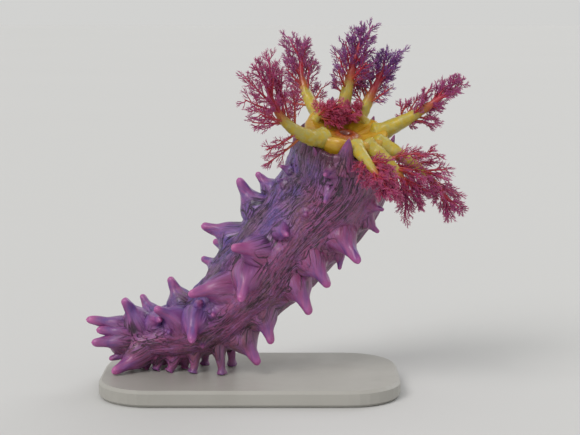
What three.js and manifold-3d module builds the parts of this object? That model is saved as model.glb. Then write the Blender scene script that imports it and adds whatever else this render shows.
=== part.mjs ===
// A thorny sea cucumber, life size, with its feeding crown open, on a flat display base.
// The rear half lies on its tube feet, the front half rears up, and ten branching tentacles
// spread round the mouth. Units are millimetres, +Z is up, and the animal shows its flank to -Y.
// The origin is the middle of the underside of the base.
import * as THREE from "three";
import { mergeVertices } from "three/addons/utils/BufferGeometryUtils.js";
import Module from "manifold-3d";

const wasm = await Module();
wasm.setup();

// Driving dimensions
const GAP = 0.3;
const BASE = { halfLength: 45, halfWidth: 25, corner: 16, height: 5, bevel: 0.9, segments: 4 };
const FLOOR = BASE.height + GAP;

// The body's axis from tail to mouth: x, y, z and the radius there
const STATIONS = [
  [-42.6, 4, 14.3, 0.8],
  [-37.0, 4, 14.2, 5.2],
  [-28.5, 3, 15.2, 7.6],
  [-15.6, 1.5, 18.7, 9.4],
  [-5.7, 0, 25.6, 11.2],
  [3.0, 0, 35.6, 13.2],
  [12.0, 0, 45.3, 14.2],
  [19.8, -1, 54.2, 14.8],
  [25.5, -3.5, 63.7, 15.0],
  [27.9, -7.5, 75.7, 14.2],
];
const BODY = { sides: 24, rings: 26, square: 0.035, folds: 0.012 };
// Where the body is parted, as shares of its length from the tail
const CUTS = { tail: 0.205, rear: 0.465, middle: 0.7, collar: 0.935 };
// How far past a cut the next length's papillae can still reach back over it
const REACH = 0.14;

// Root radius as a share of the length, kept between two sizes, tip as a share of the root, how deep
// the root is sunk and how much wider it is there, and how far the papilla bends on past its lean
const PAPILLA = {
  sides: 6, steps: 3, root: 0.34, leastRoot: 1.3, mostRoot: 3.0, tip: 0.36, blunt: 0.62,
  sunk: 2.2, flare: 1.15, taper: 0.75, bend: 0.35,
};
// One row a papilla: share of the length, angle round the body (0 faces -Y, 90 the upper side),
// length, lean towards the mouth and swing round the body, both in degrees
const PAPILLAE = [
  [0.72, 98, 6.5, 6, 0], [0.65, 92, 9.8, 16, 0], [0.54, 95, 9.5, -22, 0], [0.5, 125, 7, -10, 0],
  [0.44, 122, 6.5, -12, 0], [0.24, 92, 8, -6, 0], [0.13, 105, 6.5, -18, 0], [0.09, 64, 9, -14, 0],
  [0.045, 55, 11, -62, 0], [0.045, 30, 8, -60, 4], [0.04, 4, 9, -60, 0], [0.05, -42, 5.5, -56, 0],
  [0.965, 12, 4.5, 4, 10], [0.9, 8, 4, -28, 0], [0.67, 20, 5.5, 14, -30], [0.57, 28, 8.5, -22, 20],
  [0.5, 14, 9.5, -34, -26], [0.42, 38, 10, -38, 12], [0.33, 42, 4, 32, -18], [0.36, 12, 2, 0, 0],
  [0.29, 22, 9, -10, -42], [0.23, 38, 8.5, -28, 10], [0.15, 52, 6.5, 32, -36], [0.2, 14, 2.2, 0, 0],
  [0.87, -58, 4, 16, 0], [0.83, -70, 4.5, -6, 0], [0.77, -44, 11, -4, 0], [0.72, -66, 4, -40, 0],
  [0.66, -36, 9, -8, -22], [0.57, -52, 9.5, -16, -6], [0.43, -56, 8, -24, 0], [0.36, -68, 9, -4, 0],
  [0.78, 12, 1.6, 0, 0], [0.8, 62, 2.4, 0, 0], [0.88, 70, 3.4, 10, 0], [0.28, -22, 2.4, 0, 0],
  [0.085, -48, 10, -38, 20],
];
// Rows on the far side: angle round the body, first and last share of the length, how many
const FAR_ROWS = [
  [180, 0.1, 0.9, 7],
  [142, 0.2, 0.84, 4],
  [-135, 0.36, 0.86, 4],
];
const FAR_LENGTH = [6.5, 9.5];
// How much the papillae of the far rows vary in angle, lean and swing, in degrees
const FAR_VARY = { place: 0.3, angle: 8, leanLow: -25, leanHigh: 5, swing: 8 };
// Tube feet under the rear: share of the length, angle round the body, splay towards -Y and -X
const FEET = [
  [0.06, -98, 0.4, 1.4], [0.1, -84, 0.4, 0.8], [0.13, -72, 1.0, 0.6], [0.18, -66, 1.2, 1.6],
  [0.24, -62, 1.0, 0.8], [0.3, -58, 0.8, -0.8], [0.09, -128, -2.4, 1.4], [0.14, -122, -1.8, 0.4],
  [0.19, -124, -2.0, 0.2], [0.25, -122, -1.6, 0], [0.31, -116, -1.2, -0.8], [0.2, -94, 0, 0],
];
// Root and tip radius, where the bow's middle lies, how far it stands out, and the length cut off flat
const FOOT = { root: 1.9, tip: 1.15, sides: 5, middle: 0.62, bow: 0.5, cutOff: 1 };

// The mouth end
const DISC = { neck: 11.6, rim: 12.4, rise: 4.6, sunk: 3.0, dish: 2.6, lips: 2.4, mouth: 1.1, segments: 22 };
// Where the flaps stand on the body's length, how far in and down they are set, and their shape
const FLAP = { share: 0.985, inset: 0.75, sunk: 2.5, flare: 1.1, tip: 0.45, taper: 0.85, bow: 0.075 };
// Pointed flaps round the mouth: angle round the body, length, outward lean in degrees, root radius
const ORAL_FLAPS = [
  [-2, 8.5, 0, 2.5], [-88, 6.5, 2, 1.9], [-145, 6.5, 4, 1.8],
  [157, 10, 0, 2.5], [82, 5.5, 22, 1.8], [36, 4, 30, 1.5],
];

// Tentacles: angle round the mouth (0 to +X, 90 to the back), where the stem heads at first and how
// far it turns, its rise above the disc at first and how far that changes, stem length, root radius
const TENTACLES = [
  { at: 20, heading: 4, turn: 20, rise: 34, curl: 10, stem: 25, root: 2.8, bush: 0.72 },
  { at: 46, heading: 150, turn: 60, rise: 50, curl: -60, stem: 9, root: 1.6, bush: 0.42 },
  { at: 69, heading: 60, turn: 0, rise: 48, curl: 12, stem: 19, root: 2.4, bush: 0.9 },
  { at: 97, heading: 88, turn: -18, rise: 68, curl: -2, stem: 24, root: 2.5, bush: 0.85 },
  { at: 127, heading: 130, turn: -20, rise: 2, curl: 62, stem: 23.5, root: 2.8, bush: 1 },
  { at: 172, heading: 60, turn: -60, rise: 60, curl: -70, stem: 8, root: 1.6, bush: 0.42 },
  { at: 226, heading: 218, turn: -42, rise: 4, curl: 66, stem: 27, root: 2.8, bush: 1.35 },
  { at: 284, heading: 284, turn: 24, rise: 6, curl: -30, stem: 20, root: 2.3, bush: 0.7 },
  { at: 308, heading: 330, turn: 2, rise: -6, curl: -46, stem: 18, root: 2.5, bush: 1 },
  { at: 336, heading: 340, turn: -6, rise: -6, curl: -32, stem: 27, root: 2.6, bush: 0.9 },
];
// Stems: sides and steps, tip radius, share below the first branch, and the ring that they stand on
const STEM = { sides: 7, steps: 6, tip: 0.42, taper: 0.9, bare: 0.3, ringRadius: 10.2, height: 0.62 };
// Side branches: first and last share of the stem, sizes, the tilts at its two ends in degrees, and
// how their lengths go along it
const SIDE_BRANCH = {
  count: 7, from: 0.36, to: 0.97, length: 9.5, root: 0.62, tip: 0.34, sides: 4, scatter: 62,
  lowTilt: 72, highTilt: 24, tiltVary: 8, bend: 0.2, lowLength: 1.25, highLength: 0.5, sunk: 0.3,
};
const TWIG = {
  perBranch: 2, from: 0.45, to: 0.8, length: 3.4, root: 0.42, tip: 0.24, sides: 3,
  tilt: 46, tiltVary: 8, turnVary: 0.9,
};
// Room kept between tentacles, tries for each branch, and how much shorter each try is
const CLEAR = 0.35;
const TRIES = 7;
const SHORTER = { branch: 0.07, twig: 0.1 };
// Details smaller than this are smoothed away
const TIDY = 0.08;
// Sizes of the boxes that cut solids, larger than the whole model
const CUTTER = 200;

const COLOURS = { skin: 0x7a4a72, yellow: 0xc9a91f, crimson: 0x8c2347, base: 0x9e9c96 };

// Small helpers
const rad = THREE.MathUtils.degToRad;
const mix = THREE.MathUtils.lerp;
const UP = new THREE.Vector3(0, 0, 1);
const VIEW = new THREE.Vector3(0, 1, 0);

// A repeatable value from 0 to 1 for up to three counting numbers, so that like pieces vary
function vary(a, b = 0, c = 0) {
  const v = Math.sin(a * 12.9898 + b * 78.233 + c * 37.719 + 0.5) * 4375.85453;
  return v - Math.floor(v);
}

function toSolid(geometry) {
  const bare = geometry.clone();
  bare.deleteAttribute("normal");
  bare.deleteAttribute("uv");
  const merged = mergeVertices(bare, 1e-4);
  return new wasm.Manifold(
    new wasm.Mesh({
      numProp: 3,
      vertProperties: new Float32Array(merged.attributes.position.array),
      triVerts: new Uint32Array(merged.index.array),
    }),
  );
}

function toGeometry(solid) {
  const mesh = solid.getMesh();
  const stride = mesh.numProp;
  const positions = new Float32Array(mesh.numVert * 3);
  for (let i = 0; i < mesh.numVert; i++) {
    positions.set(mesh.vertProperties.subarray(i * stride, i * stride + 3), i * 3);
  }
  const geometry = new THREE.BufferGeometry();
  geometry.setAttribute("position", new THREE.BufferAttribute(positions, 3));
  geometry.setIndex(new THREE.BufferAttribute(mesh.triVerts, 1));
  geometry.computeVertexNormals();
  return geometry;
}

const joined = (solids) => wasm.Manifold.union(solids);
const largest = (solid) => solid.decompose().reduce((a, b) => (b.volume() > a.volume() ? b : a));

// A round solid along a path: a closed cylinder whose rings are carried to place(t, angle)
function ringSolid(sides, rings, place) {
  const geometry = new THREE.CylinderGeometry(1, 1, 1, sides, rings);
  const p = geometry.attributes.position;
  for (let i = 0; i < p.count; i++) {
    const v = new THREE.Vector3().fromBufferAttribute(p, i);
    const reach = Math.min(1, Math.hypot(v.x, v.z));
    const point = place(0.5 - v.y, Math.atan2(v.z, v.x), reach);
    p.setXYZ(i, point.x, point.y, point.z);
  }
  return toSolid(geometry);
}

// A tapered round solid along a list of points, with its own side directions at each point
function taper(points, radii, sides) {
  const steps = points.length - 1;
  const tangents = points.map((_, i) =>
    points[Math.min(i + 1, steps)].clone().sub(points[Math.max(i - 1, 0)]).normalize(),
  );
  const seedAxis = Math.abs(tangents[0].z) < 0.8 ? UP : new THREE.Vector3(1, 0, 0);
  let side = new THREE.Vector3().crossVectors(tangents[0], seedAxis).normalize();
  const frames = tangents.map((t) => {
    side = side.clone().addScaledVector(t, -side.dot(t)).normalize();
    return [side, new THREE.Vector3().crossVectors(t, side)];
  });
  return ringSolid(sides, steps, (t, angle, reach) => {
    const i = Math.round(t * steps);
    return points[i]
      .clone()
      .addScaledVector(frames[i][0], Math.cos(angle) * radii[i] * reach)
      .addScaledVector(frames[i][1], Math.sin(angle) * radii[i] * reach);
  });
}

// The body: its axis, its radius and the directions round it
const axisCurve = new THREE.CatmullRomCurve3(
  STATIONS.map(([x, y, z]) => new THREE.Vector3(x, y, z)),
  false,
  "catmullrom",
  0.5,
);
axisCurve.arcLengthDivisions = 600;
const LENGTH = axisCurve.getLength();
const radiusCurve = new THREE.CatmullRomCurve3(
  STATIONS.map((s) => new THREE.Vector3(s[3], 0, 0)),
  false,
  "catmullrom",
  0.5,
);
const bodyRadius = (share) => radiusCurve.getPoint(axisCurve.getUtoTmapping(share)).x;

// At a share of the length: the axis point, the way to the mouth, the near side and the upper side
function bodyFrame(share) {
  const s = THREE.MathUtils.clamp(share, 0, 1);
  const ahead = axisCurve.getTangentAt(s);
  const near = new THREE.Vector3(0, -1, 0);
  near.addScaledVector(ahead, -near.dot(ahead)).normalize();
  const upper = new THREE.Vector3().crossVectors(near, ahead);
  return { point: axisCurve.getPointAt(s), ahead, near, upper };
}

// The way out of the body at an angle round it, and the way round it
function around(frame, angle) {
  const blend = (a, b) => frame.near.clone().multiplyScalar(a).addScaledVector(frame.upper, b);
  return { out: blend(Math.cos(angle), Math.sin(angle)), round: blend(-Math.sin(angle), Math.cos(angle)) };
}

// Four soft corners carry the rows of papillae, and slight folds run between them
const section = (angle) => 1 + BODY.square * Math.cos(4 * angle) + BODY.folds * Math.cos(12 * angle);

function bodySolid(extra) {
  return ringSolid(BODY.sides, BODY.rings, (share, angle, reach) => {
    const frame = bodyFrame(share);
    const { out } = around(frame, -angle);
    return frame.point.addScaledVector(out, (bodyRadius(share) * section(angle) + extra) * reach);
  });
}

// A point on the body's skin, with the ways out, ahead and round there
function onBody(share, degrees) {
  const frame = bodyFrame(share);
  const angle = rad(degrees);
  const { out, round } = around(frame, angle);
  const point = frame.point.clone().addScaledVector(out, bodyRadius(share) * section(angle));
  return { point, out, round, ahead: frame.ahead };
}

// A fleshy cone from the skin, flared at its root, leaning and then bending further the same way
function papilla([share, degrees, length, lean, swing], extra = 0) {
  const at = onBody(share, degrees);
  const way = at.out
    .clone()
    .addScaledVector(at.ahead, Math.tan(rad(lean)))
    .addScaledVector(at.round, Math.tan(rad(swing)))
    .normalize();
  const slip = way.clone().sub(at.out).multiplyScalar(PAPILLA.bend);
  const root = THREE.MathUtils.clamp(length * PAPILLA.root, PAPILLA.leastRoot, PAPILLA.mostRoot);
  const points = [at.point.clone().addScaledVector(way, -PAPILLA.sunk)];
  const radii = [root * PAPILLA.flare + extra];
  for (let i = 1; i <= PAPILLA.steps; i++) {
    const h = i / PAPILLA.steps;
    const isTip = i === PAPILLA.steps;
    const along = length * (h * 1.08 - 0.08) + (isTip ? extra : 0);
    const slimmed = mix(1, PAPILLA.tip, Math.pow(h, PAPILLA.taper));
    points.push(at.point.clone().addScaledVector(way, along).addScaledVector(slip, length * h * h * 0.5));
    radii.push(root * slimmed * (isTip ? PAPILLA.blunt : 1) + extra);
  }
  return taper(points, radii, PAPILLA.sides);
}

// A tube foot from the underside straight down to the base, cut flat there afterwards
function foot([share, degrees, towardsNear, towardsTail], extra = 0) {
  const at = onBody(share, degrees);
  const end = new THREE.Vector3(at.point.x - towardsTail, at.point.y - towardsNear, FLOOR - FOOT.cutOff);
  const start = at.point.clone().addScaledVector(at.out, -PAPILLA.sunk);
  const middle = start.clone().lerp(end, FOOT.middle).addScaledVector(at.out, FOOT.bow);
  const radii = [FOOT.root, mix(FOOT.root, FOOT.tip, 0.6), FOOT.tip].map((r) => r + extra);
  return taper([start, middle, end], radii, FOOT.sides);
}

const farPapillae = FAR_ROWS.flatMap(([degrees, from, to, count]) =>
  Array.from({ length: count }, (_, i) => [
    mix(from, to, (i + FAR_VARY.place * vary(i, degrees)) / count),
    degrees + mix(-FAR_VARY.angle, FAR_VARY.angle, vary(i, degrees, 1)),
    mix(...FAR_LENGTH, vary(i, degrees, 2)),
    mix(FAR_VARY.leanLow, FAR_VARY.leanHigh, vary(i, degrees, 3)),
    mix(-FAR_VARY.swing, FAR_VARY.swing, vary(i, degrees, 4)),
  ]),
);
const allPapillae = [...PAPILLAE, ...farPapillae];

// The half of space beyond a cut across the body, with half the gap left on either side
function beyond(share, sign) {
  const frame = bodyFrame(share);
  const box = new THREE.BoxGeometry(CUTTER, CUTTER, CUTTER);
  box.translate(0, 0, CUTTER / 2 + GAP / 2);
  const turn = new THREE.Quaternion().setFromUnitVectors(UP, frame.ahead.clone().multiplyScalar(sign));
  box.applyQuaternion(turn);
  box.translate(frame.point.x, frame.point.y, frame.point.z);
  return toSolid(box);
}

const core = bodySolid(0);
const fatCore = bodySolid(GAP);
const belowFloor = (() => {
  const box = new THREE.BoxGeometry(CUTTER, CUTTER, CUTTER);
  box.translate(0, 0, FLOOR - CUTTER / 2);
  return toSolid(box);
})();

// Papillae and feet rooted between two shares of the length
function growth(from, to, extra) {
  const rooted = ([share]) => share >= from && share < to;
  return [
    ...allPapillae.filter(rooted).map((row) => papilla(row, extra)),
    ...FEET.filter(rooted).map((row) => foot(row, extra)),
  ];
}

// One length of the body with what grows on it, kept off its neighbours
function bodyLength(from, to) {
  const others = [];
  let trunk = core;
  if (from > 0) {
    trunk = trunk.subtract(beyond(from, -1));
    others.push(fatCore.subtract(beyond(from, 1)));
  }
  if (to < 1) {
    trunk = trunk.subtract(beyond(to, 1));
    others.push(fatCore.subtract(beyond(to, -1)), ...growth(to, to + REACH, GAP));
  }
  const solid = joined([trunk, ...growth(from, to, 0)]).subtract(belowFloor);
  return others.length ? solid.subtract(joined(others)) : solid;
}

// The mouth's own frame: right and back lie in the plane of the disc
const mouth = (() => {
  const frame = bodyFrame(1);
  const right = new THREE.Vector3(1, 0, 0);
  right.addScaledVector(frame.ahead, -right.dot(frame.ahead)).normalize();
  const back = new THREE.Vector3().crossVectors(frame.ahead, right);
  return { point: frame.point, ahead: frame.ahead, right, back };
})();

// A solid of revolution about the mouth's axis from a profile of radius and height
function aboutMouth(profile, segments) {
  const geometry = new THREE.LatheGeometry(profile.map(([r, h]) => new THREE.Vector2(r, h)), segments);
  const basis = new THREE.Matrix4().makeBasis(mouth.right, mouth.ahead, mouth.back.clone().negate());
  basis.setPosition(mouth.point);
  geometry.applyMatrix4(basis);
  return toSolid(geometry);
}

// The yellow disc: a short neck out of the collar, a dished top and a lipped mouth in its middle
function discProfile(extra) {
  const { neck, rim, rise, sunk, dish, lips, mouth: hole } = DISC;
  return [
    [0, -sunk - extra],
    [neck - 1.5 + extra, -sunk - extra],
    [neck + extra, 0],
    [rim + extra, rise * 0.6],
    [rim - 0.7 + extra, rise + extra],
    [rim * 0.72, rise - dish * 0.55 + extra],
    [lips + 1.2, rise - dish + extra],
    [lips, rise - dish + 0.8 + extra],
    [hole, rise - dish + 0.5 + extra],
    [hole * 0.7, rise - dish - 0.9 + extra],
    [0, rise - dish - 1.1 + extra],
  ];
}
const disc = aboutMouth(discProfile(0), DISC.segments);
const fatDisc = aboutMouth(discProfile(GAP), DISC.segments);

function oralFlap([degrees, length, lean, root]) {
  const at = onBody(FLAP.share, degrees);
  const inset = at.point.clone().addScaledVector(at.out, -root * FLAP.inset);
  const way = at.ahead.clone().addScaledVector(at.out, Math.tan(rad(lean))).normalize();
  const points = [inset.clone().addScaledVector(way, -FLAP.sunk)];
  const radii = [root * FLAP.flare];
  for (let i = 1; i <= PAPILLA.steps; i++) {
    const h = i / PAPILLA.steps;
    const bow = FLAP.bow * h * h * length;
    points.push(inset.clone().addScaledVector(way, length * h).addScaledVector(at.out, bow));
    radii.push(mix(root, FLAP.tip, Math.pow(h, FLAP.taper)));
  }
  return taper(points, radii, PAPILLA.sides);
}

// The last ring of the body with the flaps on its edge, hollowed for the disc and the stems
function collarSolid(stemsWithGap) {
  const from = CUTS.collar;
  const solid = core.subtract(beyond(from, -1));
  const grown = joined([solid, ...growth(from, 1, 0), ...ORAL_FLAPS.map(oralFlap)]);
  return grown.subtract(joined([fatDisc, fatCore.subtract(beyond(from, 1)), ...stemsWithGap]));
}

// Tentacles

// Capsules that branches have to stay clear of: two ends, a radius and the tentacle they belong to
const occupied = [];

function addCapsules(points, radii, owner) {
  for (let i = 0; i + 1 < points.length; i++) {
    occupied.push({ a: points[i], b: points[i + 1], r: Math.max(radii[i], radii[i + 1]), owner });
  }
}

// The least distance between two straight stretches
function stretchDistance(p1, q1, p2, q2) {
  const d1 = q1.clone().sub(p1);
  const d2 = q2.clone().sub(p2);
  const r = p1.clone().sub(p2);
  const a = d1.dot(d1);
  const e = d2.dot(d2);
  const f = d2.dot(r);
  const c = d1.dot(r);
  const b = d1.dot(d2);
  const denominator = a * e - b * b;
  const clamp = (x) => THREE.MathUtils.clamp(x, 0, 1);
  let s = denominator > 1e-9 ? clamp((b * f - c * e) / denominator) : 0;
  let t = (b * s + f) / e;
  if (t < 0 || t > 1) {
    t = clamp(t);
    s = clamp((b * t - c) / a);
  }
  return p1.clone().addScaledVector(d1, s).distanceTo(p2.clone().addScaledVector(d2, t));
}

function isClear(points, radii, owner) {
  for (let i = 0; i + 1 < points.length; i++) {
    const r = Math.max(radii[i], radii[i + 1]);
    for (const o of occupied) {
      if (o.owner === owner) continue;
      if (stretchDistance(points[i], points[i + 1], o.a, o.b) < r + o.r + CLEAR) return false;
    }
  }
  return points.every((p) => p.z > FLOOR + 2);
}

// The stem's centre line, from turning and rising steadily along its length
function stemPath(t) {
  const direction = (share) => {
    const heading = rad(t.heading + t.turn * share);
    const rise = rad(t.rise + t.curl * share);
    return mouth.right
      .clone()
      .multiplyScalar(Math.cos(rise) * Math.cos(heading))
      .addScaledVector(mouth.back, Math.cos(rise) * Math.sin(heading))
      .addScaledVector(mouth.ahead, Math.sin(rise));
  };
  const at = rad(t.at);
  const p = mouth.point
    .clone()
    .addScaledVector(mouth.right, STEM.ringRadius * Math.cos(at))
    .addScaledVector(mouth.back, STEM.ringRadius * Math.sin(at))
    .addScaledVector(mouth.ahead, DISC.rise * STEM.height);
  const points = [p.clone()];
  for (let i = 0; i < STEM.steps; i++) {
    p.addScaledVector(direction((i + 0.5) / STEM.steps), t.stem / STEM.steps);
    points.push(p.clone());
  }
  return points;
}

const stemRadius = (t, share) => mix(t.root, STEM.tip, Math.pow(share, STEM.taper));
const stemRadii = (t) => Array.from({ length: STEM.steps + 1 }, (_, i) => stemRadius(t, i / STEM.steps));

// A point at a share of a line of evenly spaced points, and the way that the line runs there
function alongPoints(points, share) {
  const x = share * (points.length - 1);
  const i = Math.min(Math.floor(x), points.length - 2);
  return points[i].clone().lerp(points[i + 1], x - i);
}

function wayAt(points, share) {
  const behind = alongPoints(points, share - 0.05);
  return alongPoints(points, Math.min(1, share + 0.05)).sub(behind).normalize();
}

// Side branches on either side of the stem, each tried a few ways until it is clear of the others
function bush(t, index, points) {
  const solids = [];
  for (let i = 0; i < SIDE_BRANCH.count; i++) {
    const share = mix(SIDE_BRANCH.from, SIDE_BRANCH.to, i / (SIDE_BRANCH.count - 1));
    const origin = alongPoints(points, share);
    const ahead = wayAt(points, share);
    const across = new THREE.Vector3().crossVectors(ahead, VIEW).normalize();
    const over = new THREE.Vector3().crossVectors(across, ahead);
    const stemHere = stemRadius(t, share);
    const longest =
      SIDE_BRANCH.length * t.bush * mix(SIDE_BRANCH.lowLength, SIDE_BRANCH.highLength, share) *
      mix(0.85, 1.1, vary(i, index, 20));
    const middleTilt = mix(SIDE_BRANCH.lowTilt, SIDE_BRANCH.highTilt, share);
    for (let attempt = 0; attempt < TRIES; attempt++) {
      const turn = i * Math.PI + rad(SIDE_BRANCH.scatter) * mix(-1, 1, vary(i, index, attempt));
      const reach = longest * (1 - attempt * SHORTER.branch);
      const tilt = rad(middleTilt + SIDE_BRANCH.tiltVary * mix(-1, 1, vary(i, index, 30 + attempt)));
      const out = across.clone().multiplyScalar(Math.cos(turn)).addScaledVector(over, Math.sin(turn));
      const way = ahead.clone().multiplyScalar(Math.cos(tilt)).addScaledVector(out, Math.sin(tilt));
      const line = [0, 0.5, 1].map((h) =>
        origin
          .clone()
          .addScaledVector(way, reach * h)
          .addScaledVector(ahead, SIDE_BRANCH.bend * reach * h * h),
      );
      line[0].addScaledVector(way, -SIDE_BRANCH.sunk * stemHere);
      const sizes = [SIDE_BRANCH.root, mix(SIDE_BRANCH.root, SIDE_BRANCH.tip, 0.5), SIDE_BRANCH.tip];
      const free = [origin.clone().addScaledVector(way, stemHere * 0.9), line[1], line[2]];
      if (!isClear(free, sizes, index)) continue;
      solids.push(taper(line, sizes, SIDE_BRANCH.sides));
      addCapsules(free, sizes, index);
      solids.push(...twigs(line, way, out, index, i, t));
      break;
    }
  }
  return solids;
}

// Short twigs on alternate sides of a branch
function twigs(line, way, out, index, branch, t) {
  const solids = [];
  const flat = new THREE.Vector3().crossVectors(way, out).normalize();
  const edge = new THREE.Vector3().crossVectors(flat, way);
  for (let k = 0; k < TWIG.perBranch; k++) {
    const origin = alongPoints(line, mix(TWIG.from, TWIG.to, k / (TWIG.perBranch - 1)));
    const key = branch * TWIG.perBranch + k;
    const longest = TWIG.length * Math.sqrt(t.bush) * mix(0.75, 1.1, vary(key, index, 50));
    for (let attempt = 0; attempt < TRIES; attempt++) {
      const turn = k * Math.PI + TWIG.turnVary * mix(-1, 1, vary(key, index, 40 + attempt));
      const reach = longest * (1 - attempt * SHORTER.twig);
      const tilt = rad(TWIG.tilt + TWIG.tiltVary * mix(-1, 1, vary(key, index, 60 + attempt)));
      const aside = edge.clone().multiplyScalar(Math.cos(turn)).addScaledVector(flat, Math.sin(turn));
      const direction = way.clone().multiplyScalar(Math.cos(tilt)).addScaledVector(aside, Math.sin(tilt));
      const ends = [-0.1, reach].map((along) => origin.clone().addScaledVector(direction, along));
      const sizes = [TWIG.root, TWIG.tip];
      if (!isClear(ends, sizes, index)) continue;
      solids.push(taper(ends, sizes, TWIG.sides));
      addCapsules(ends, sizes, index);
      break;
    }
  }
  return solids;
}

// The display base: a flat plate with round corners and a bevelled edge
function baseSolid() {
  const reach = { x: BASE.halfLength - BASE.corner, y: BASE.halfWidth - BASE.corner };
  const outline = new THREE.Shape();
  [[1, 1], [-1, 1], [-1, -1], [1, -1]].forEach(([x, y], i) => {
    const from = (i * Math.PI) / 2;
    outline.absarc(x * reach.x, y * reach.y, BASE.corner - BASE.bevel, from, from + Math.PI / 2);
  });
  outline.closePath();
  const geometry = new THREE.ExtrudeGeometry(outline, {
    depth: BASE.height - 2 * BASE.bevel,
    curveSegments: BASE.segments,
    bevelEnabled: true,
    bevelThickness: BASE.bevel,
    bevelSize: BASE.bevel,
    bevelSegments: 1,
  });
  geometry.translate(0, 0, BASE.bevel);
  return toSolid(geometry);
}

const group = new THREE.Group();

function addNode(name, solid, colour, roughness = 0.5) {
  const material = new THREE.MeshStandardMaterial({ color: colour, roughness, metalness: 0 });
  const mesh = new THREE.Mesh(toGeometry(largest(solid.simplify(TIDY))), material);
  mesh.name = name;
  group.add(mesh);
}

addNode("stand_base", baseSolid(), COLOURS.base, 0.4);

const stems = TENTACLES.map((t) => ({ points: stemPath(t), radii: stemRadii(t) }));
const fatStems = stems.map(({ points, radii }) => taper(points, radii.map((r) => r + GAP), STEM.sides));
const bodyParts = {
  body_tail: bodyLength(0, CUTS.tail),
  body_rear: bodyLength(CUTS.tail, CUTS.rear),
  body_middle: bodyLength(CUTS.rear, CUTS.middle),
  body_front: bodyLength(CUTS.middle, CUTS.collar),
  oral_collar: collarSolid(fatStems),
};
for (const [name, solid] of Object.entries(bodyParts)) addNode(name, solid, COLOURS.skin);
addNode("oral_disc", disc, COLOURS.yellow);

// What the branches keep clear of: the front half of the body, the oral flaps and every stem
const BODY_STRETCHES = 24;
for (let i = 0; i < BODY_STRETCHES; i++) {
  const share = mix(0.5, 1, i / BODY_STRETCHES);
  const a = bodyFrame(share).point;
  const b = bodyFrame(mix(0.5, 1, (i + 1) / BODY_STRETCHES)).point;
  occupied.push({ a, b, r: bodyRadius(share) * 1.06, owner: "body" });
}
for (const [degrees, length, , root] of ORAL_FLAPS) {
  const at = onBody(FLAP.share, degrees);
  const tip = at.point.clone().addScaledVector(at.ahead, length * 1.05);
  occupied.push({ a: at.point.clone(), b: tip, r: root, owner: "body" });
}

stems.forEach((stem, index) => addCapsules(stem.points, stem.radii, index));

TENTACLES.forEach((t, index) => {
  const { points, radii } = stems[index];
  const whole = taper(points, radii, STEM.sides).subtract(joined([fatDisc, ...fatStems.slice(0, index)]));
  const cutPoint = alongPoints(points, STEM.bare);
  const cutWay = wayAt(points, STEM.bare);
  const slab = (sign) => {
    const box = new THREE.BoxGeometry(CUTTER, CUTTER, CUTTER);
    box.translate(0, 0, CUTTER / 2 - GAP / 2);
    box.applyQuaternion(new THREE.Quaternion().setFromUnitVectors(UP, cutWay.clone().multiplyScalar(sign)));
    box.translate(cutPoint.x, cutPoint.y, cutPoint.z);
    return toSolid(box);
  };
  const name = `tentacle_${String(index + 1).padStart(2, "0")}`;
  const trunk = whole.subtract(slab(1));
  const crown = joined([whole.subtract(slab(-1)), ...bush(t, index, points)]).subtract(fatDisc);
  addNode(`${name}_stem`, trunk, COLOURS.yellow);
  addNode(`${name}_branches`, crown, COLOURS.crimson);
});

export default group;
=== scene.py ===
"""Looks for a life-size thorny sea cucumber with its feeding crown open, on a flat display base.

Every surface is worked out with numpy from the animal's own sizes, in millimetres, and is put into
the mesh in metres. The body is one skin along a bent axis. Papillae, tube feet and the flaps round
the mouth are patches that rise out of that skin, and each tentacle is a stem with four orders of
branchlets on it.
"""

import math
from collections import namedtuple

import bpy
import numpy as np
from mathutils import Matrix, Vector


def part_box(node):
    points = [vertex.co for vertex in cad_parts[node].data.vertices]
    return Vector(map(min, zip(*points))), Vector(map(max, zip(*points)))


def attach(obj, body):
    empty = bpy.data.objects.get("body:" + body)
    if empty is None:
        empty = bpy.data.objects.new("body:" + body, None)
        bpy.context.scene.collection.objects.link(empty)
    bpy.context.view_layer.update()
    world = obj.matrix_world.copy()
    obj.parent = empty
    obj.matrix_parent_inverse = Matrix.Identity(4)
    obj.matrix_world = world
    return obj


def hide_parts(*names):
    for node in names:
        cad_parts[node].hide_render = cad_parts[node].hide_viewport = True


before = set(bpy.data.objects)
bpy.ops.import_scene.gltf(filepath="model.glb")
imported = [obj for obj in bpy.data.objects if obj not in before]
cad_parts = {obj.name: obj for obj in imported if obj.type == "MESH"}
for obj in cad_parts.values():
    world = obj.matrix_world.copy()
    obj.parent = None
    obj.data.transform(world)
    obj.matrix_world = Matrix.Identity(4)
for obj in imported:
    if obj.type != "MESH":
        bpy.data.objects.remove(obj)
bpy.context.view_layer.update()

bl_info = {
    "name": "Thorny Sea Cucumber",
    "version": (1, 0, 0),
    "blender": (4, 5, 0),
    "location": "View3D > Sidebar > Sea Cucumber",
    "description": "Builds a life-size sea cucumber with its tentacles spread",
    "category": "Add Mesh",
}

MM = 0.001
# Height of the tube feet's flat ends, just above the base, in millimetres
FEET_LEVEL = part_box("stand_base")[1].z / MM + 0.28

# The body's axis from tail to mouth: x, y, z and the radius there, in millimetres
STATIONS = np.array([
    [-42.6, 4, 14.3, 0.8],
    [-37.0, 4, 14.2, 5.2],
    [-28.5, 3, 15.2, 7.6],
    [-15.6, 1.5, 18.7, 9.4],
    [-5.7, 0, 25.6, 11.2],
    [3.0, 0, 35.6, 13.2],
    [12.0, 0, 45.3, 14.2],
    [19.8, -1, 54.2, 14.8],
    [25.5, -3.5, 63.7, 15.0],
    [27.9, -7.5, 75.7, 14.2],
])
# Depth of the section's four corners and twelve folds, as shares of the radius
CORNERS, FOLDS = 0.035, 0.012

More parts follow.
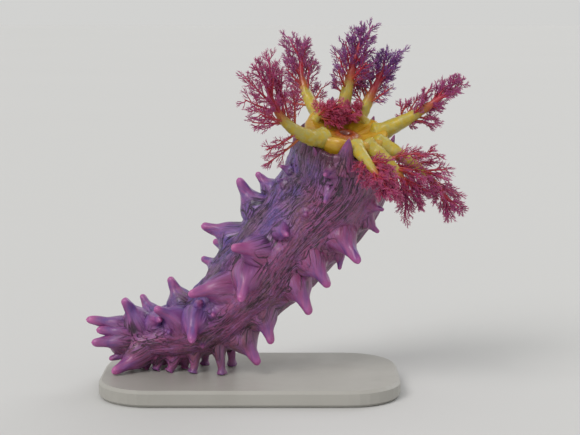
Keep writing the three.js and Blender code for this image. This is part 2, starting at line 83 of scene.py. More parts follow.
# One row a papilla: share of the length, angle round the body (0 faces -Y, 90 the upper side),
# length, lean towards the mouth and swing round the body, both in degrees
PAPILLAE = [
    [0.72, 98, 6.5, 6, 0], [0.65, 92, 9.8, 16, 0], [0.54, 95, 9.5, -22, 0], [0.5, 125, 7, -10, 0],
    [0.44, 122, 6.5, -12, 0], [0.24, 92, 8, -6, 0], [0.13, 105, 6.5, -18, 0], [0.09, 64, 9, -14, 0],
    [0.045, 55, 11, -62, 0], [0.045, 30, 8, -60, 4], [0.04, 4, 9, -60, 0], [0.05, -42, 5.5, -56, 0],
    [0.965, 12, 4.5, 4, 10], [0.9, 8, 4, -28, 0], [0.67, 20, 5.5, 14, -30], [0.57, 28, 8.5, -22, 20],
    [0.5, 14, 9.5, -34, -26], [0.42, 38, 10, -38, 12], [0.33, 42, 4, 32, -18], [0.36, 12, 2, 0, 0],
    [0.29, 22, 9, -10, -42], [0.23, 38, 8.5, -28, 10], [0.15, 52, 6.5, 32, -36], [0.2, 14, 2.2, 0, 0],
    [0.87, -58, 4, 16, 0], [0.83, -70, 4.5, -6, 0], [0.77, -44, 11, -4, 0], [0.72, -66, 4, -40, 0],
    [0.66, -36, 9, -8, -22], [0.57, -52, 9.5, -16, -6], [0.43, -56, 8, -24, 0], [0.36, -68, 9, -4, 0],
    [0.78, 12, 1.6, 0, 0], [0.8, 62, 2.4, 0, 0], [0.88, 70, 3.4, 10, 0], [0.28, -22, 2.4, 0, 0],
    [0.085, -48, 10, -38, 20],
]
# Rows on the far side: angle round the body, first and last share of the length, and how many
FAR_ROWS = [[180, 0.1, 0.9, 7], [142, 0.2, 0.84, 4], [-135, 0.36, 0.86, 4]]
# Their shortest and longest length, and the limits of their scatter round the body and their lean
FAR_LENGTH, FAR_SCATTER, FAR_LEAN = (6.5, 9.5), (-8, 8), (-25, 5)
# A papilla's root radius as a share of its length, with the least and the most
ROOT_SHARE, LEAST_ROOT, MOST_ROOT = 0.34, 1.3, 3.0
# Radius at the tip and of the flare at the skin, as shares of the root's, and how far the shaft bends
TIP_SHARE, FLARE_SHARE, BEND = 0.36, 1.95, 0.175

# Tube feet: share of the length, angle round the body, splay towards -Y and towards the tail
FEET = [
    [0.06, -98, 0.4, 1.4], [0.1, -84, 0.4, 0.8], [0.13, -72, 1.0, 0.6], [0.18, -66, 1.2, 1.6],
    [0.24, -62, 1.0, 0.8], [0.3, -58, 0.8, -0.8], [0.09, -128, -2.4, 1.4], [0.14, -122, -1.8, 0.4],
    [0.19, -124, -2.0, 0.2], [0.25, -122, -1.6, 0], [0.31, -116, -1.2, -0.8], [0.2, -94, 0, 0],
]
# A foot's radius at its root and its end, and of the flare at the skin as a share of the root's
FOOT_ROOT, FOOT_TIP, FOOT_FLARE = 1.9, 1.15, 1.5

# Flaps round the mouth: angle round the body, length, outward lean in degrees, root radius
ORAL_FLAPS = [
    [-2, 8.5, 0, 2.5], [-88, 6.5, 2, 1.9], [-145, 6.5, 4, 1.8], [157, 10, 0, 2.5],
    [82, 5.5, 22, 1.8], [36, 4, 30, 1.5],
]
# Radius of the lip round the mouth, and how far its inner wall goes down under the disc
LIP, LIP_DEPTH = 1.1, 3.2

Tentacle = namedtuple("Tentacle", "place heading turn rise curl length root size violet")
# Tentacles: angle round the mouth (0 to +X, 90 to the back), where the stem heads and how far it
# turns, its rise and how far that changes, stem length, root radius, size of the branches, violet tint
TENTACLES = [Tentacle(*row) for row in (
    [20, 4, 20, 34, 10, 25, 2.8, 0.72, 0.45],
    [46, 150, 60, 50, -60, 9, 1.6, 0.42, 0.0],
    [69, 60, 0, 48, 12, 19, 2.4, 0.9, 1.0],
    [97, 88, -18, 68, -2, 24, 2.5, 0.85, 0.85],
    [127, 130, -20, 2, 62, 23.5, 2.8, 1, 0.55],
    [172, 60, -60, 60, -70, 8, 1.6, 0.42, 0.0],
    [226, 218, -42, 4, 66, 27, 2.8, 1.35, 0.35],
    [284, 284, 24, 6, -30, 20, 2.3, 0.7, 0.2],
    [308, 330, 2, -6, -46, 18, 2.5, 1, 0.3],
    [336, 340, -6, -6, -32, 27, 2.6, 0.9, 0.35],
)]
# Stems shorter than this are those of the two small tentacles over the mouth
SMALL_STEM = 12
# Radius of the ring of stems, its height above the rim, and a stem's radius at its tip
RING_RADIUS, RING_RISE, STEM_TIP = 10.2, 2.852, 0.42
# Branches of the solids: where the first and the last leave the stem, how many, and their length
BRANCH_FROM, BRANCH_TO, BRANCH_SOLIDS, BRANCH_LENGTH = 0.36, 0.97, 7, 9.5
# Their scatter round the stem and tilt at its foot and tip, in degrees, and how far they bend on
BRANCH_SCATTER, LOW_TILT, HIGH_TILT, BRANCH_BEND = 62, 72, 24, 0.2


# Values and curves

def mix(a, b, t):
    """a moved towards b by the share t."""
    return a + (b - a) * t


def smooth(low, high, x):
    """0 below low, 1 above high, and 3u^2 - 2u^3 between them."""
    u = np.clip((x - low) / (high - low), 0, 1)
    return u * u * (3 - 2 * u)


def unit(v):
    """Vectors divided by their own length."""
    return v / np.maximum(np.linalg.norm(v, axis=-1, keepdims=True), 1e-12)


def turned(first, second, angle):
    """The way at an angle from the first way towards the second: first * cos + second * sin."""
    return first * np.cos(angle)[..., None] + second * np.sin(angle)[..., None]


def squared_off(v, way):
    """The part of v at right angles to a unit way, made one long."""
    return unit(v - way * (v * way).sum(-1, keepdims=True))


def once_round(count):
    """Even angles once round, from 0 on."""
    return np.linspace(0, 2 * math.pi, count, endpoint=False)


def vary(a, b=0, c=0):
    """A repeatable value from 0 to 1: the fraction of a large multiple of a sine of the counting numbers."""
    v = np.sin(np.asarray(a) * 12.9898 + np.asarray(b) * 78.233 + np.asarray(c) * 37.719 + 0.5) * 4375.85453
    return v - np.floor(v)


def ripple(p, scale, key, count=7):
    """Soft bumps from -1 to 1: the mean of sines of the point's distance along spread directions."""
    k = np.arange(count)
    way = unit(np.stack([vary(k, key, 1), vary(k, key, 2), vary(k, key, 3)], -1) - 0.5)
    phase = 2 * math.pi * vary(k, key, 4)
    stretch = mix(0.7, 1.5, vary(k, key, 5)) * 2 * math.pi / scale
    return np.sin(p @ (way * stretch[:, None]).T + phase).mean(-1) * 1.6


def catmull_rom(points, t):
    """On each span the cubic through its two ends whose slope at each is half the chord between the
    neighbours; t runs from 0 to 1 over all spans, and the first and last step are repeated outwards."""
    padded = np.vstack([2 * points[0] - points[1], points, 2 * points[-1] - points[-2]])
    x = np.clip(t, 0, 1) * (len(points) - 1)
    i = np.minimum(x.astype(int), len(points) - 2)
    u = (x - i)[..., None]
    p0, p1, p2, p3 = (padded[i + k] for k in range(4))
    return 0.5 * (2 * p1 + (p2 - p0) * u + (2 * p0 - 5 * p1 + 4 * p2 - p3) * u**2
                  + (3 * p1 - p0 - 3 * p2 + p3) * u**3)


# The body

AXIS = catmull_rom(STATIONS, np.linspace(0, 1, 4001))
STEP = np.linalg.norm(np.diff(AXIS[:, :3], axis=0), axis=1)
TRAVEL = np.concatenate([[0], np.cumsum(STEP)])
LENGTH = TRAVEL[-1]
AHEAD = unit(np.gradient(AXIS[:, :3], axis=0))


def width_at(share):
    """The body's radius at a share of its length."""
    return np.interp(share * LENGTH, TRAVEL, AXIS[:, 3])


def body_frame(share):
    """Axis point, radius and the ways ahead, near and upper: near is -Y squared off to the axis, and
    upper is near x ahead."""
    s = np.clip(share, 0, 1) * LENGTH
    x, y, z, radius = (np.interp(s, TRAVEL, column) for column in AXIS.T)
    ahead = unit(np.stack([np.interp(s, TRAVEL, column) for column in AHEAD.T], -1))
    near = squared_off(np.array([0.0, -1.0, 0.0]), ahead)
    return np.stack([x, y, z], -1), radius, ahead, near, np.cross(near, ahead)


def near_mouth(share):
    """How near the rim round the mouth: 0 up to 0.93 of the length, rising to 1 at the rim."""
    return smooth(0.93, 1.0, share)


def papilla_rows():
    """The papillae listed above and the rows on the far side, as one array."""
    rows = [list(row) for row in PAPILLAE]
    for degrees, start, end, count in FAR_ROWS:
        for i in range(count):
            rows.append([
                mix(start, end, (i + 0.3 * vary(i, degrees)) / count),
                degrees + mix(*FAR_SCATTER, vary(i, degrees, 1)),
                mix(*FAR_LENGTH, vary(i, degrees, 2)),
                mix(*FAR_LEAN, vary(i, degrees, 3)),
                mix(*FAR_SCATTER, vary(i, degrees, 4)),
            ])
    return np.array(rows)


ROWS = papilla_rows()
ROOTS = np.clip(ROWS[:, 2] * ROOT_SHARE, LEAST_ROOT, MOST_ROOT)

# Lines part round a papilla: how far they are drawn, how far out in root radii, and how the parting
# is squeezed along the body
PARTING_DRAW, PARTING_REACH, PARTING_SQUEEZE = 0.75, 1.7, 0.6
# Ridges along the body: how many round it, how far they wander, height and start
RIDGES = ((19, 1.0, 1.0, 0.0), (31, -1.4, 0.9, 1.0), (43, 0.7, 0.7, 2.2))
RIDGE_DEPTH, LUMP_HEIGHT, FOLD_HEIGHT = 0.34, 0.42, 0.16


def straightened(share, angle):
    """The place on a straightened body, along it and on the circle of its radius, and the angle there.
    Round each papilla the angle is drawn towards the papilla's own by a share that falls off as a
    bell curve, so that lines along the body part and pass it."""
    along, radius = share * LENGTH, width_at(share)
    bent = np.array(angle, float)
    for (root_share, degrees, *_), root in zip(ROWS, ROOTS):
        apart = (angle - math.radians(degrees) + math.pi) % (2 * math.pi) - math.pi
        squared = (along - root_share * LENGTH) ** 2 * PARTING_SQUEEZE + (apart * radius) ** 2
        bent = bent - PARTING_DRAW * apart * np.exp(-squared / (2 * (PARTING_REACH * root) ** 2))
    return np.stack([along, radius * np.cos(bent), radius * np.sin(bent)], -1), bent


def wrinkle_height(flow, bent):
    """Fine ridges along the body: sines round it whose phase wanders with the length, squared off so
    that the valleys are narrow, with soft folds across it and low lumps."""
    along = flow[..., 0]
    wander = 1.3 * np.sin(along / 7.5) + 0.8 * np.sin(along / 3.1 + 2)
    fine = 0
    for number, drift, height, start in RIDGES:
        fine = fine + height * np.sin(number * bent + drift * wander + start)
    ridges = np.minimum(np.abs(fine), 1.4) ** 0.5
    lumps = ripple(flow * np.array([0.7, 1, 1]), 11, 1)
    folds = ripple(flow * np.array([1.6, 0.35, 0.35]), 6, 2)
    patchy = 0.45 + 0.55 * smooth(-0.4, 0.5, ripple(flow, 17, 3))
    return RIDGE_DEPTH * (ridges - 0.8) * patchy + LUMP_HEIGHT * lumps + FOLD_HEIGHT * folds


def skin_point(share, angle):
    """axis + out * (radius * section + wrinkles): the section has four soft corners, and the wrinkles
    fade at the tail's tip and at the rim round the mouth."""
    point, radius, _, near, upper = body_frame(share)
    flow, bent = straightened(share, angle)
    section = 1 + CORNERS * np.cos(4 * angle) + FOLDS * np.cos(12 * angle)
    fade = smooth(0, 0.05, share) * (1 - 0.6 * smooth(0.97, 1.0, share))
    wrinkles = wrinkle_height(flow, bent) * fade * bpy.context.scene.sea_cucumber.wrinkles
    return point + turned(near, upper, angle) * (radius * section + wrinkles)[..., None], flow


def rooted(share, angle):
    """The skin's point at a share and an angle, and the ways out of the body, ahead and round it."""
    _, _, ahead, near, upper = body_frame(share)
    return skin_point(share, angle)[0], turned(near, upper, angle), ahead, turned(upper, -near, angle)


MOUTH_POINT, _, MOUTH_AHEAD, _, _ = body_frame(np.array(1.0))
MOUTH_RIGHT = squared_off(np.array([1.0, 0, 0]), MOUTH_AHEAD)
MOUTH_BACK = np.cross(MOUTH_AHEAD, MOUTH_RIGHT)


# Meshes

def tube_faces(count, rings, columns):
    """Faces of many tubes stored ring by ring: ring r joins ring r + 1, the columns wrap round, and a
    pole closes each end by a fan. The poles come after all rings, the first ones and then the last
    ones. Returns quads and triangles as rows of vertex numbers."""
    tube = np.arange(count)[:, None, None] * rings * columns
    ring = np.arange(rings - 1)[None, :, None] * columns
    column = np.arange(columns)[None, None, :]
    following = (column + 1) % columns
    a, b = tube + ring + column, tube + ring + following
    quads = np.stack([a, b, b + columns, a + columns], -1).reshape(-1, 4)
    first, column, following = tube[:, 0], column[0], following[0]
    last = first + (rings - 1) * columns
    pole = count * rings * columns + np.arange(count)[:, None]
    fans = ((pole, first + following, first + column), (pole + count, last + column, last + following))
    triangles = [np.stack(np.broadcast_arrays(*fan), -1).reshape(-1, 3) for fan in fans]
    return quads, np.concatenate(triangles)


def with_poles(rings, first, last):
    """The values of every ring's points in one list, then those of the first and of the last poles."""
    return np.concatenate([rings.reshape(-1, *first.shape[1:]), first, last])


def bake_cells(count, rings, columns, across=None, along=None):
    """One small patch of the bake map for each tube. The tubes are ranked along the stem or body, then
    round it, so that each has a cell of its own near its root's place on an unwrap of that shape."""
    side = max(1, math.ceil(math.sqrt(count)))
    along = np.arange(count) if along is None else along
    across = np.zeros(count) if across is None else across
    column_of = np.empty(count, int)
    column_of[np.argsort(along, kind="stable")] = np.arange(count) // side
    order = np.lexsort((across, column_of))
    row_of = np.empty(count, int)
    row_of[order] = np.arange(count) - np.searchsorted(column_of[order], column_of[order])
    patch = 0.8 / side
    corner = np.stack([column_of, row_of], -1) / side * 0.98 + 0.01
    grid = np.stack(np.meshgrid(np.arange(columns) / columns, np.arange(rings) / (rings - 1)), -1)
    first, last = (corner + np.array([0.5, end]) * patch for end in (0.0, 1.0))
    return with_poles(corner[:, None, None] + grid * patch, first, last)


def make_piece(name, points, faces, material, floats, bake, flow=None):
    """A smooth mesh object at the origin from points in millimetres, with its attributes and bake map."""
    quads, triangles = faces
    mesh = bpy.data.meshes.new(name)
    loops = np.concatenate([quads.ravel(), triangles.ravel()]).astype(np.int32)
    starts = np.concatenate([np.arange(len(quads)) * 4, len(quads) * 4 + np.arange(len(triangles)) * 3])
    mesh.vertices.add(len(points))
    mesh.vertices.foreach_set("co", (points * MM).astype(np.float32).ravel())
    mesh.loops.add(len(loops))
    mesh.loops.foreach_set("vertex_index", loops)
    mesh.polygons.add(len(starts))
    mesh.polygons.foreach_set("loop_start", starts.astype(np.int32))
    mesh.update(calc_edges=True)
    mesh.validate()
    mesh.shade_smooth()
    for key, values in floats.items():
        mesh.attributes.new(key, "FLOAT", "POINT").data.foreach_set("value", values.astype(np.float32))
    if flow is not None:
        vectors = mesh.attributes.new("flow", "FLOAT_VECTOR", "POINT").data
        vectors.foreach_set("vector", flow.astype(np.float32).ravel())
    layer = mesh.uv_layers.new(name="OFBake")
    layer.data.foreach_set("uv", bake[loops].astype(np.float32).ravel())
    mesh.materials.append(material)
    piece = bpy.data.objects.new(name, mesh)
    bpy.context.scene.collection.objects.link(piece)
    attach(piece, "root")
    return piece


def make_tubes(name, points, ends, material, values, flow=None, ranks=(None, None)):
    """A piece of like tubes, from points by tube, ring and column, the points of the first and the last
    poles, and for each attribute its values on the rings and at those poles."""
    shape = points.shape[:3]
    floats = {}
    for key, (rings, first, last) in values.items():
        first, last = (np.broadcast_to(end, shape[0]) for end in (first, last))
        floats[key] = with_poles(np.broadcast_to(rings, shape), first, last)
    if flow is not None:
        flow = with_poles(flow, flow[:, 0, 0], flow[:, -1, 0])
    bake = bake_cells(*shape, *ranks)
    return make_piece(name, with_poles(points, *ends), tube_faces(*shape), material, floats, bake, flow)


# Materials

def colour(red, green, blue):
    """A linear colour from one written as 0 to 255 for the screen."""
    s = np.array([red, green, blue]) / 255
    linear = np.where(s <= 0.04045, s / 12.92, ((s + 0.055) / 1.055) ** 2.4)
    return (*linear.tolist(), 1.0)


# Places of a Mix node's two colour sockets and of its colour result
MIX_FIRST, MIX_SECOND, MIX_RESULT = 6, 7, 2

# Tints of the finishes that stay as they are
PALE_FLECK, DARK_FLECK = colour(164, 128, 172), colour(66, 34, 72)
# The second tint on the next line is painted shade: dark maroon near the mouth's rim, under the crown.
SHAFT_VIOLET, CROWN_SHADE_MAROON = colour(96, 62, 134), colour(92, 36, 62)
DISC_AMBER, DISC_RUST, MOUTH_WINE = colour(198, 160, 44), colour(150, 52, 34), colour(92, 16, 30)
STEM_PALE, STEM_ORANGE, BRANCH_ROSE = colour(176, 164, 84), colour(176, 96, 44), colour(192, 62, 106)
PLATE_LIGHT, FLOOR_DARK, FLOOR_LIGHT = colour(168, 166, 160), colour(199, 199, 198), colour(201, 201, 200)
WORLD_WHITE = colour(252, 252, 250)


class Finish:
    """A material's node tree, with a method for each node or set of nodes that the finishes use."""

    def __init__(self, name):
        self.material = bpy.data.materials.new(name)
        self.material.use_nodes = True
        self.nodes = self.material.node_tree.nodes
        self.links = self.material.node_tree.links
        self.shader = self.nodes["Principled BSDF"]

    def fill(self, socket, value):
        """Joins a socket to another one, or gives it a value of its own."""
        if isinstance(value, bpy.types.NodeSocket):
            self.links.new(value, socket)
        else:
            socket.default_value = value

    def put(self, kind, values, output=0, **settings):
        """Adds a node, sets its settings and fills its inputs."""
        made = self.nodes.new(kind)
        for key, value in settings.items():
            setattr(made, key, value)
        for key, value in values.items():
            self.fill(made.inputs[key], value)
        return made.outputs[output]

    def attribute(self, name, output="Fac"):
        return self.put("ShaderNodeAttribute", {}, output, attribute_name=name)

    def place(self):
        return self.put("ShaderNodeTexCoord", {}, "Object")

    def drawn_out(self, flow, share):
        """The flow with its length along the body cut to a share, so that patterns are drawn out."""
        return self.put("ShaderNodeMapping", {"Vector": flow, "Scale": (share, 1.0, 1.0)})

    def noise(self, vector, scale, detail, roughness=0.55, distortion=0.0):
        values = {"Vector": vector, "Scale": scale, "Detail": detail, "Roughness": roughness}
        return self.put("ShaderNodeTexNoise", {**values, "Distortion": distortion})

    def ramp(self, value, low, high, to_low=0.0, to_high=1.0):
        values = {"Value": value, "From Min": low, "From Max": high, "To Min": to_low, "To Max": to_high}
        return self.put("ShaderNodeMapRange", values, interpolation_type="SMOOTHSTEP")

    def math(self, kind, a, b=0.0):
        return self.put("ShaderNodeMath", {0: a, 1: b}, operation=kind)

    def blend(self, share, a, b):
        values = {"Factor": share, MIX_FIRST: a, MIX_SECOND: b}
        return self.put("ShaderNodeMix", values, MIX_RESULT, data_type="RGBA")

    def lay(self, base, tint, value, low, high, most=1.0):
        """The base with a tint over it, from none where the value is low to the most where it is high."""
        return self.blend(self.ramp(value, low, high, 0.0, most), base, tint)

    def stirred(self, value, noise, amount):
        """The value moved by an amount of a noise, which is taken from its middle."""
        return self.math("ADD", value, self.math("MULTIPLY", self.math("SUBTRACT", noise, 0.5), amount))

    def line(self, value, middle, width, height=1.0):
        """The height where the value passes the middle, falling to 0 at width to either side."""
        away = self.math("ABSOLUTE", self.math("SUBTRACT", value, middle))
        return self.ramp(away, 0.0, width, height, 0.0)

    def bump(self, height, strength, distance, normal=None):
        values = {"Height": height, "Strength": strength, "Distance": distance}
        if normal is not None:
            values["Normal"] = normal
        return self.put("ShaderNodeBump", values)

    def set(self, **values):
        """Fills the shader's sockets; an underscore in a name stands for a space."""
        for key, value in values.items():
            self.fill(self.shader.inputs[key.replace("_", " ")], value)
        return self.material


def skin_material(settings):
    """Damp mauve flesh: violet above, rosy and olive below, dark lines that run along the body, and
    lilac papillae that turn magenta towards their tips. The upper side is painted bluer than the lower:
    painted light, for blue light falling from above. The dark lines are painted shade in the grooves
    between fine wrinkles, and a dark maroon near the mouth's rim is painted shade under the crown."""
    f = Finish("sea_cucumber_skin")
    flow = f.attribute("flow", "Vector")
    side, tip, crown_shade = f.attribute("side"), f.attribute("tip"), f.attribute("crown_shade")
    # Painted light: the upper side is painted bluer than the rosy lower side, for blue light from above.
    upper = f.ramp(f.stirred(side, f.noise(flow, 0.09, 3.0), 2.2), -0.1, 0.95)
    base = f.blend(upper, settings.skin_rosy, settings.skin_violet_blue_light)
    base = f.lay(base, settings.skin_olive, f.noise(f.drawn_out(flow, 0.6), 0.13, 4.0), 0.48, 0.64, 0.66)
    mottle = f.noise(f.drawn_out(flow, 0.5), 0.9, 6.0, 0.65)
    base = f.lay(base, settings.skin_pale, mottle, 0.4, 0.68, 0.75)
    # Painted shade: the dark lines stand in for the shade in the narrow grooves between fine wrinkles.
    coarse = f.line(f.noise(f.drawn_out(flow, 0.1), 0.55, 2.0, 0.5, 0.6), 0.5, 0.03)
    finer = f.line(f.noise(f.drawn_out(flow, 0.13), 1.0, 2.0, 0.5, 0.5), 0.48, 0.042, 0.9)
    where = f.ramp(f.noise(f.drawn_out(flow, 0.4), 0.16, 2.0), 0.38, 0.54, 0.25, 1.0)
    bare = f.ramp(tip, 0.12, 0.4, 1.0, 0.0)
    lines = f.math("MULTIPLY", f.math("MAXIMUM", coarse, finer), f.math("MULTIPLY", where, bare))
    base = f.blend(f.math("MULTIPLY", lines, 0.97), base, settings.groove_shade_colour)
    base = f.lay(base, PALE_FLECK, f.noise(flow, 5.0, 2.0), 0.6, 0.7, 0.6)
    base = f.lay(base, DARK_FLECK, f.noise(flow, 1.4, 5.0, 0.6), 0.5, 0.66, 0.5)
    shaft = f.lay(settings.papilla_lilac, SHAFT_VIOLET, f.noise(flow, 0.5, 3.0), 0.3, 0.7)
    base = f.lay(base, shaft, tip, 0.1, 0.6, 0.85)
    base = f.lay(base, settings.tip_pink, f.stirred(tip, mottle, 0.3), 0.65, 1.1, 0.9)
    # Painted shade: dark maroon towards the mouth's rim, for the shade under the tentacles' crown.
    base = f.lay(base, CROWN_SHADE_MAROON, f.stirred(crown_shade, mottle, 0.25), 0.325, 1.025, 0.7)
    normal = f.bump(f.noise(flow, 6.5, 5.0, 0.6), 0.35, 0.0002)
    normal = f.bump(f.noise(flow, 1.8, 6.0, 0.6), 0.6, 0.0004, normal)
    normal = f.bump(f.math("SUBTRACT", 1.0, lines), 1.0, 0.0006, normal)
    return f.set(
        Base_Color=base, Roughness=f.ramp(mottle, 0.3, 0.75, 0.34, 0.56), Normal=normal,
        Subsurface_Weight=0.18, Subsurface_Scale=0.0016, Subsurface_Radius=(1.0, 0.45, 0.55),
        Specular_IOR_Level=0.5, Coat_Weight=0.38, Coat_Roughness=0.24,
    )


def disc_material(settings):
    """Smooth golden flesh that reddens towards the mouth."""
    f = Finish("mouth_disc_flesh")
    place = f.place()
    patches = f.noise(place, 260.0, 4.0)
    inward = f.stirred(f.attribute("inward"), patches, 0.5)
    base = f.lay(settings.cup_gold, DISC_AMBER, patches, 0.35, 0.7)
    base = f.lay(base, DISC_RUST, inward, 0.3, 0.62, 0.85)
    base = f.lay(base, MOUTH_WINE, inward, 0.66, 0.95, 0.9)
    return f.set(
        Base_Color=base, Roughness=f.ramp(patches, 0.3, 0.7, 0.26, 0.42),
        Normal=f.bump(f.noise(place, 900.0, 5.0), 0.5, 0.0002),
        Subsurface_Weight=0.3, Subsurface_Scale=0.0018, Subsurface_Radius=(1.0, 0.6, 0.2),
        Coat_Weight=0.3, Coat_Roughness=0.22,
    )


def tentacle_material(settings):
    """Yellow flesh at the stem's foot that passes through orange to crimson, and to violet at the
    finest tips; the tone attribute says how far along that change a point is."""
    f = Finish("tentacle_flesh")
    place = f.place()
    patches = f.noise(place, 330.0, 5.0)
    tone = f.stirred(f.attribute("tone"), patches, 0.22)
    base = f.lay(settings.stem_yellow, STEM_PALE, f.noise(place, 700.0, 3.0), 0.35, 0.65)
    base = f.lay(base, STEM_ORANGE, tone, 0.16, 0.4)
    base = f.lay(base, settings.branch_crimson, tone, 0.34, 0.56)
    tips = f.blend(f.attribute("violet"), BRANCH_ROSE, settings.branch_violet)
    base = f.lay(base, tips, tone, 0.62, 0.92)
    return f.set(
        Base_Color=base, Roughness=f.ramp(patches, 0.3, 0.7, 0.3, 0.5),
        Normal=f.bump(f.noise(place, 1500.0, 4.0), 0.45, 0.00018),
        Subsurface_Weight=0.25, Subsurface_Scale=0.0012, Subsurface_Radius=(1.0, 0.5, 0.35),
        Coat_Weight=0.2, Coat_Roughness=0.25,
    )


def stand_material(settings):
    """Pale satin moulded plate with a fine even grain and faint handling marks."""
    f = Finish("stand_plate")
    place = f.place()
    return f.set(
        Base_Color=f.lay(settings.stand_tone, PLATE_LIGHT, f.noise(place, 24.0, 5.0), 0.35, 0.65),
        Roughness=f.ramp(f.noise(place, 60.0, 6.0), 0.35, 0.7, 0.38, 0.52),
        Normal=f.bump(f.noise(place, 2600.0, 2.0), 0.3, 0.00006),
    )


def floor_material():
    """Plain pale studio floor with a barely visible tone change."""
    f = Finish("studio_floor")
    return f.set(Base_Color=f.blend(f.noise(f.place(), 2.0, 2.0), FLOOR_DARK, FLOOR_LIGHT), Roughness=0.85)


def shared(name, make):
    """The material of that name, made on first use."""
    return bpy.data.materials.get(name) or make(bpy.context.scene.sea_cucumber)


# Settings

def tint(name, description, red, green, blue):
    """A colour setting with four linear channels."""
    return bpy.props.FloatVectorProperty(
        name=name, description=description, subtype="COLOR", size=4, min=0, max=1,
        default=colour(red, green, blue),
    )


class SeaCucumberSettings(bpy.types.PropertyGroup):
    """Sizes and colours that a user would change."""

    # The upper skin's colour holds painted light: it is bluer, for blue light falling from above.
    skin_violet_blue_light: tint("Upper skin", "Colour of the skin on the upper side", 94, 68, 142)
    skin_rosy: tint("Lower skin", "Colour of the skin on the lower side", 142, 62, 110)
    skin_olive: tint("Olive patches", "Colour of the dull patches on the flank", 112, 80, 78)
    skin_pale: tint("Pale mottling", "Colour of the pale mottling", 142, 90, 150)
    # The wrinkle lines' colour is painted shade: the dark of the narrow grooves between fine wrinkles.
    groove_shade_colour: tint("Wrinkle lines", "Colour in the fine lines along the body", 34, 14, 30)
    papilla_lilac: tint("Papillae", "Colour of the papillae's shafts", 156, 72, 130)
    tip_pink: tint("Papilla tips", "Colour of the papillae's tips", 178, 84, 148)
    cup_gold: tint("Mouth disc", "Colour of the disc round the mouth", 182, 132, 18)
    stem_yellow: tint("Stems", "Colour of the tentacles' stems", 186, 162, 36)
    branch_crimson: tint("Branches", "Colour of the tentacles' branches", 170, 38, 62)
    branch_violet: tint("Branch tips", "Colour of the finest tips", 122, 62, 140)
    stand_tone: tint("Base", "Colour of the display base", 158, 156, 150)
    wrinkles: bpy.props.FloatProperty(
        name="Wrinkles", description="Depth of the skin's wrinkles, as a share of the usual", default=1.0,
        min=0, max=2, subtype="FACTOR",
    )
    density: bpy.props.FloatProperty(
        name="Branchlets", description="How many branchlets grow, as a share of the usual", default=1.0,
        min=0.3, max=1.2, subtype="FACTOR",
    )
    light: bpy.props.FloatProperty(
        name="Light", description="Strength of the main light", default=1.5, min=0, max=10, subtype="FACTOR",
    )


# Skin

# Share of the length where the skin starts, its rings and columns, and the rings of the lip
SKIN_START, SKIN_RINGS, SKIN_COLUMNS, LIP_RINGS = 0.002, 400, 220, 12
# Patches that rise from it: rings, columns, depth of the closing pole, how far the edge lies under
# the skin, and how far the rest stands above the edge
PATCH_RINGS, PATCH_COLUMNS, PATCH_DEPTH, EDGE_DEPTH, PATCH_RISE = 32, 36, 2.4, 0.06, 0.11


def skin_surface():
    """Rings of skin from the tail to the mouth, then a rounded lip that turns inwards and down under
    the disc. The columns run clockwise about the axis seen from the tail, so they are reversed."""
    share = np.linspace(SKIN_START, 1, SKIN_RINGS)[:, None]
    share, angle = np.broadcast_arrays(share, -once_round(SKIN_COLUMNS)[None, :])
    points, flow = skin_point(share, angle)
    around = unit(points[-1] - MOUTH_POINT)
    reach = np.linalg.norm(points[-1] - MOUTH_POINT, axis=-1)
    turn = np.linspace(0, math.pi, LIP_RINGS + 1)[1:, None]
    scallop = 1 + 0.25 * np.sin(9 * angle[0] + 1) + 0.15 * np.sin(17 * angle[0])
    radius = reach - LIP + LIP * np.cos(turn)
    height = 0.85 * LIP * np.sin(turn) * scallop
    lip = MOUTH_POINT + around * radius[..., None] + MOUTH_AHEAD * height[..., None]
    inside = lip[-1] - MOUTH_AHEAD * LIP_DEPTH
    points = np.concatenate([points, lip, inside[None]])
    flow = np.concatenate([flow, np.repeat(flow[-1:], LIP_RINGS + 1, axis=0)])
    # Painted shade of the tentacles' crown: none up to 0.93 of the length, full at the rim and on the lip.
    crown_shade = np.concatenate([near_mouth(share[:, 0]), np.ones(LIP_RINGS + 1)])
    return points, flow, np.repeat(crown_shade, SKIN_COLUMNS), np.tile(np.sin(angle[0]), len(points))


class BuildSkin(bpy.types.Operator):
    """Build the body's skin from tail to mouth as one surface"""

    bl_idname = "sea_cucumber.skin"
    bl_label = "Skin"

    def execute(self, context):
        points, flow, crown_shade, side = skin_surface()
        rings = len(points)
        zero, one = np.zeros(1), np.ones(1)
        under_mouth = MOUTH_POINT - MOUTH_AHEAD * LIP_DEPTH
        u, v = np.meshgrid(np.arange(SKIN_COLUMNS) / SKIN_COLUMNS, np.linspace(0.01, 0.99, rings))
        bake = np.stack([u * 0.98 + 0.01, v], -1)
        skin = make_piece(
            "skin", with_poles(points, AXIS[:1, :3], under_mouth[None]),
            tube_faces(1, rings, SKIN_COLUMNS), shared("sea_cucumber_skin", skin_material),
            {
                # The crown's painted shade, full at the pole under the mouth.
                "crown_shade": with_poles(crown_shade, zero, one),
                "side": with_poles(side, zero, zero),
                "tip": with_poles(np.zeros_like(side), zero, zero),
            },
            with_poles(bake, np.array([[0.5, 0.005]]), np.array([[0.5, 0.995]])),
            with_poles(flow, np.zeros((1, 3)), np.array([[LENGTH, 0, 0]])),
        )
        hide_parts("body_tail", "body_rear", "body_middle", "body_front", "oral_collar")
        return {"FINISHED"}


# Papillae and tube feet

Shafts = namedtuple("Shafts", "share angle flare centre radius lift tip peak")


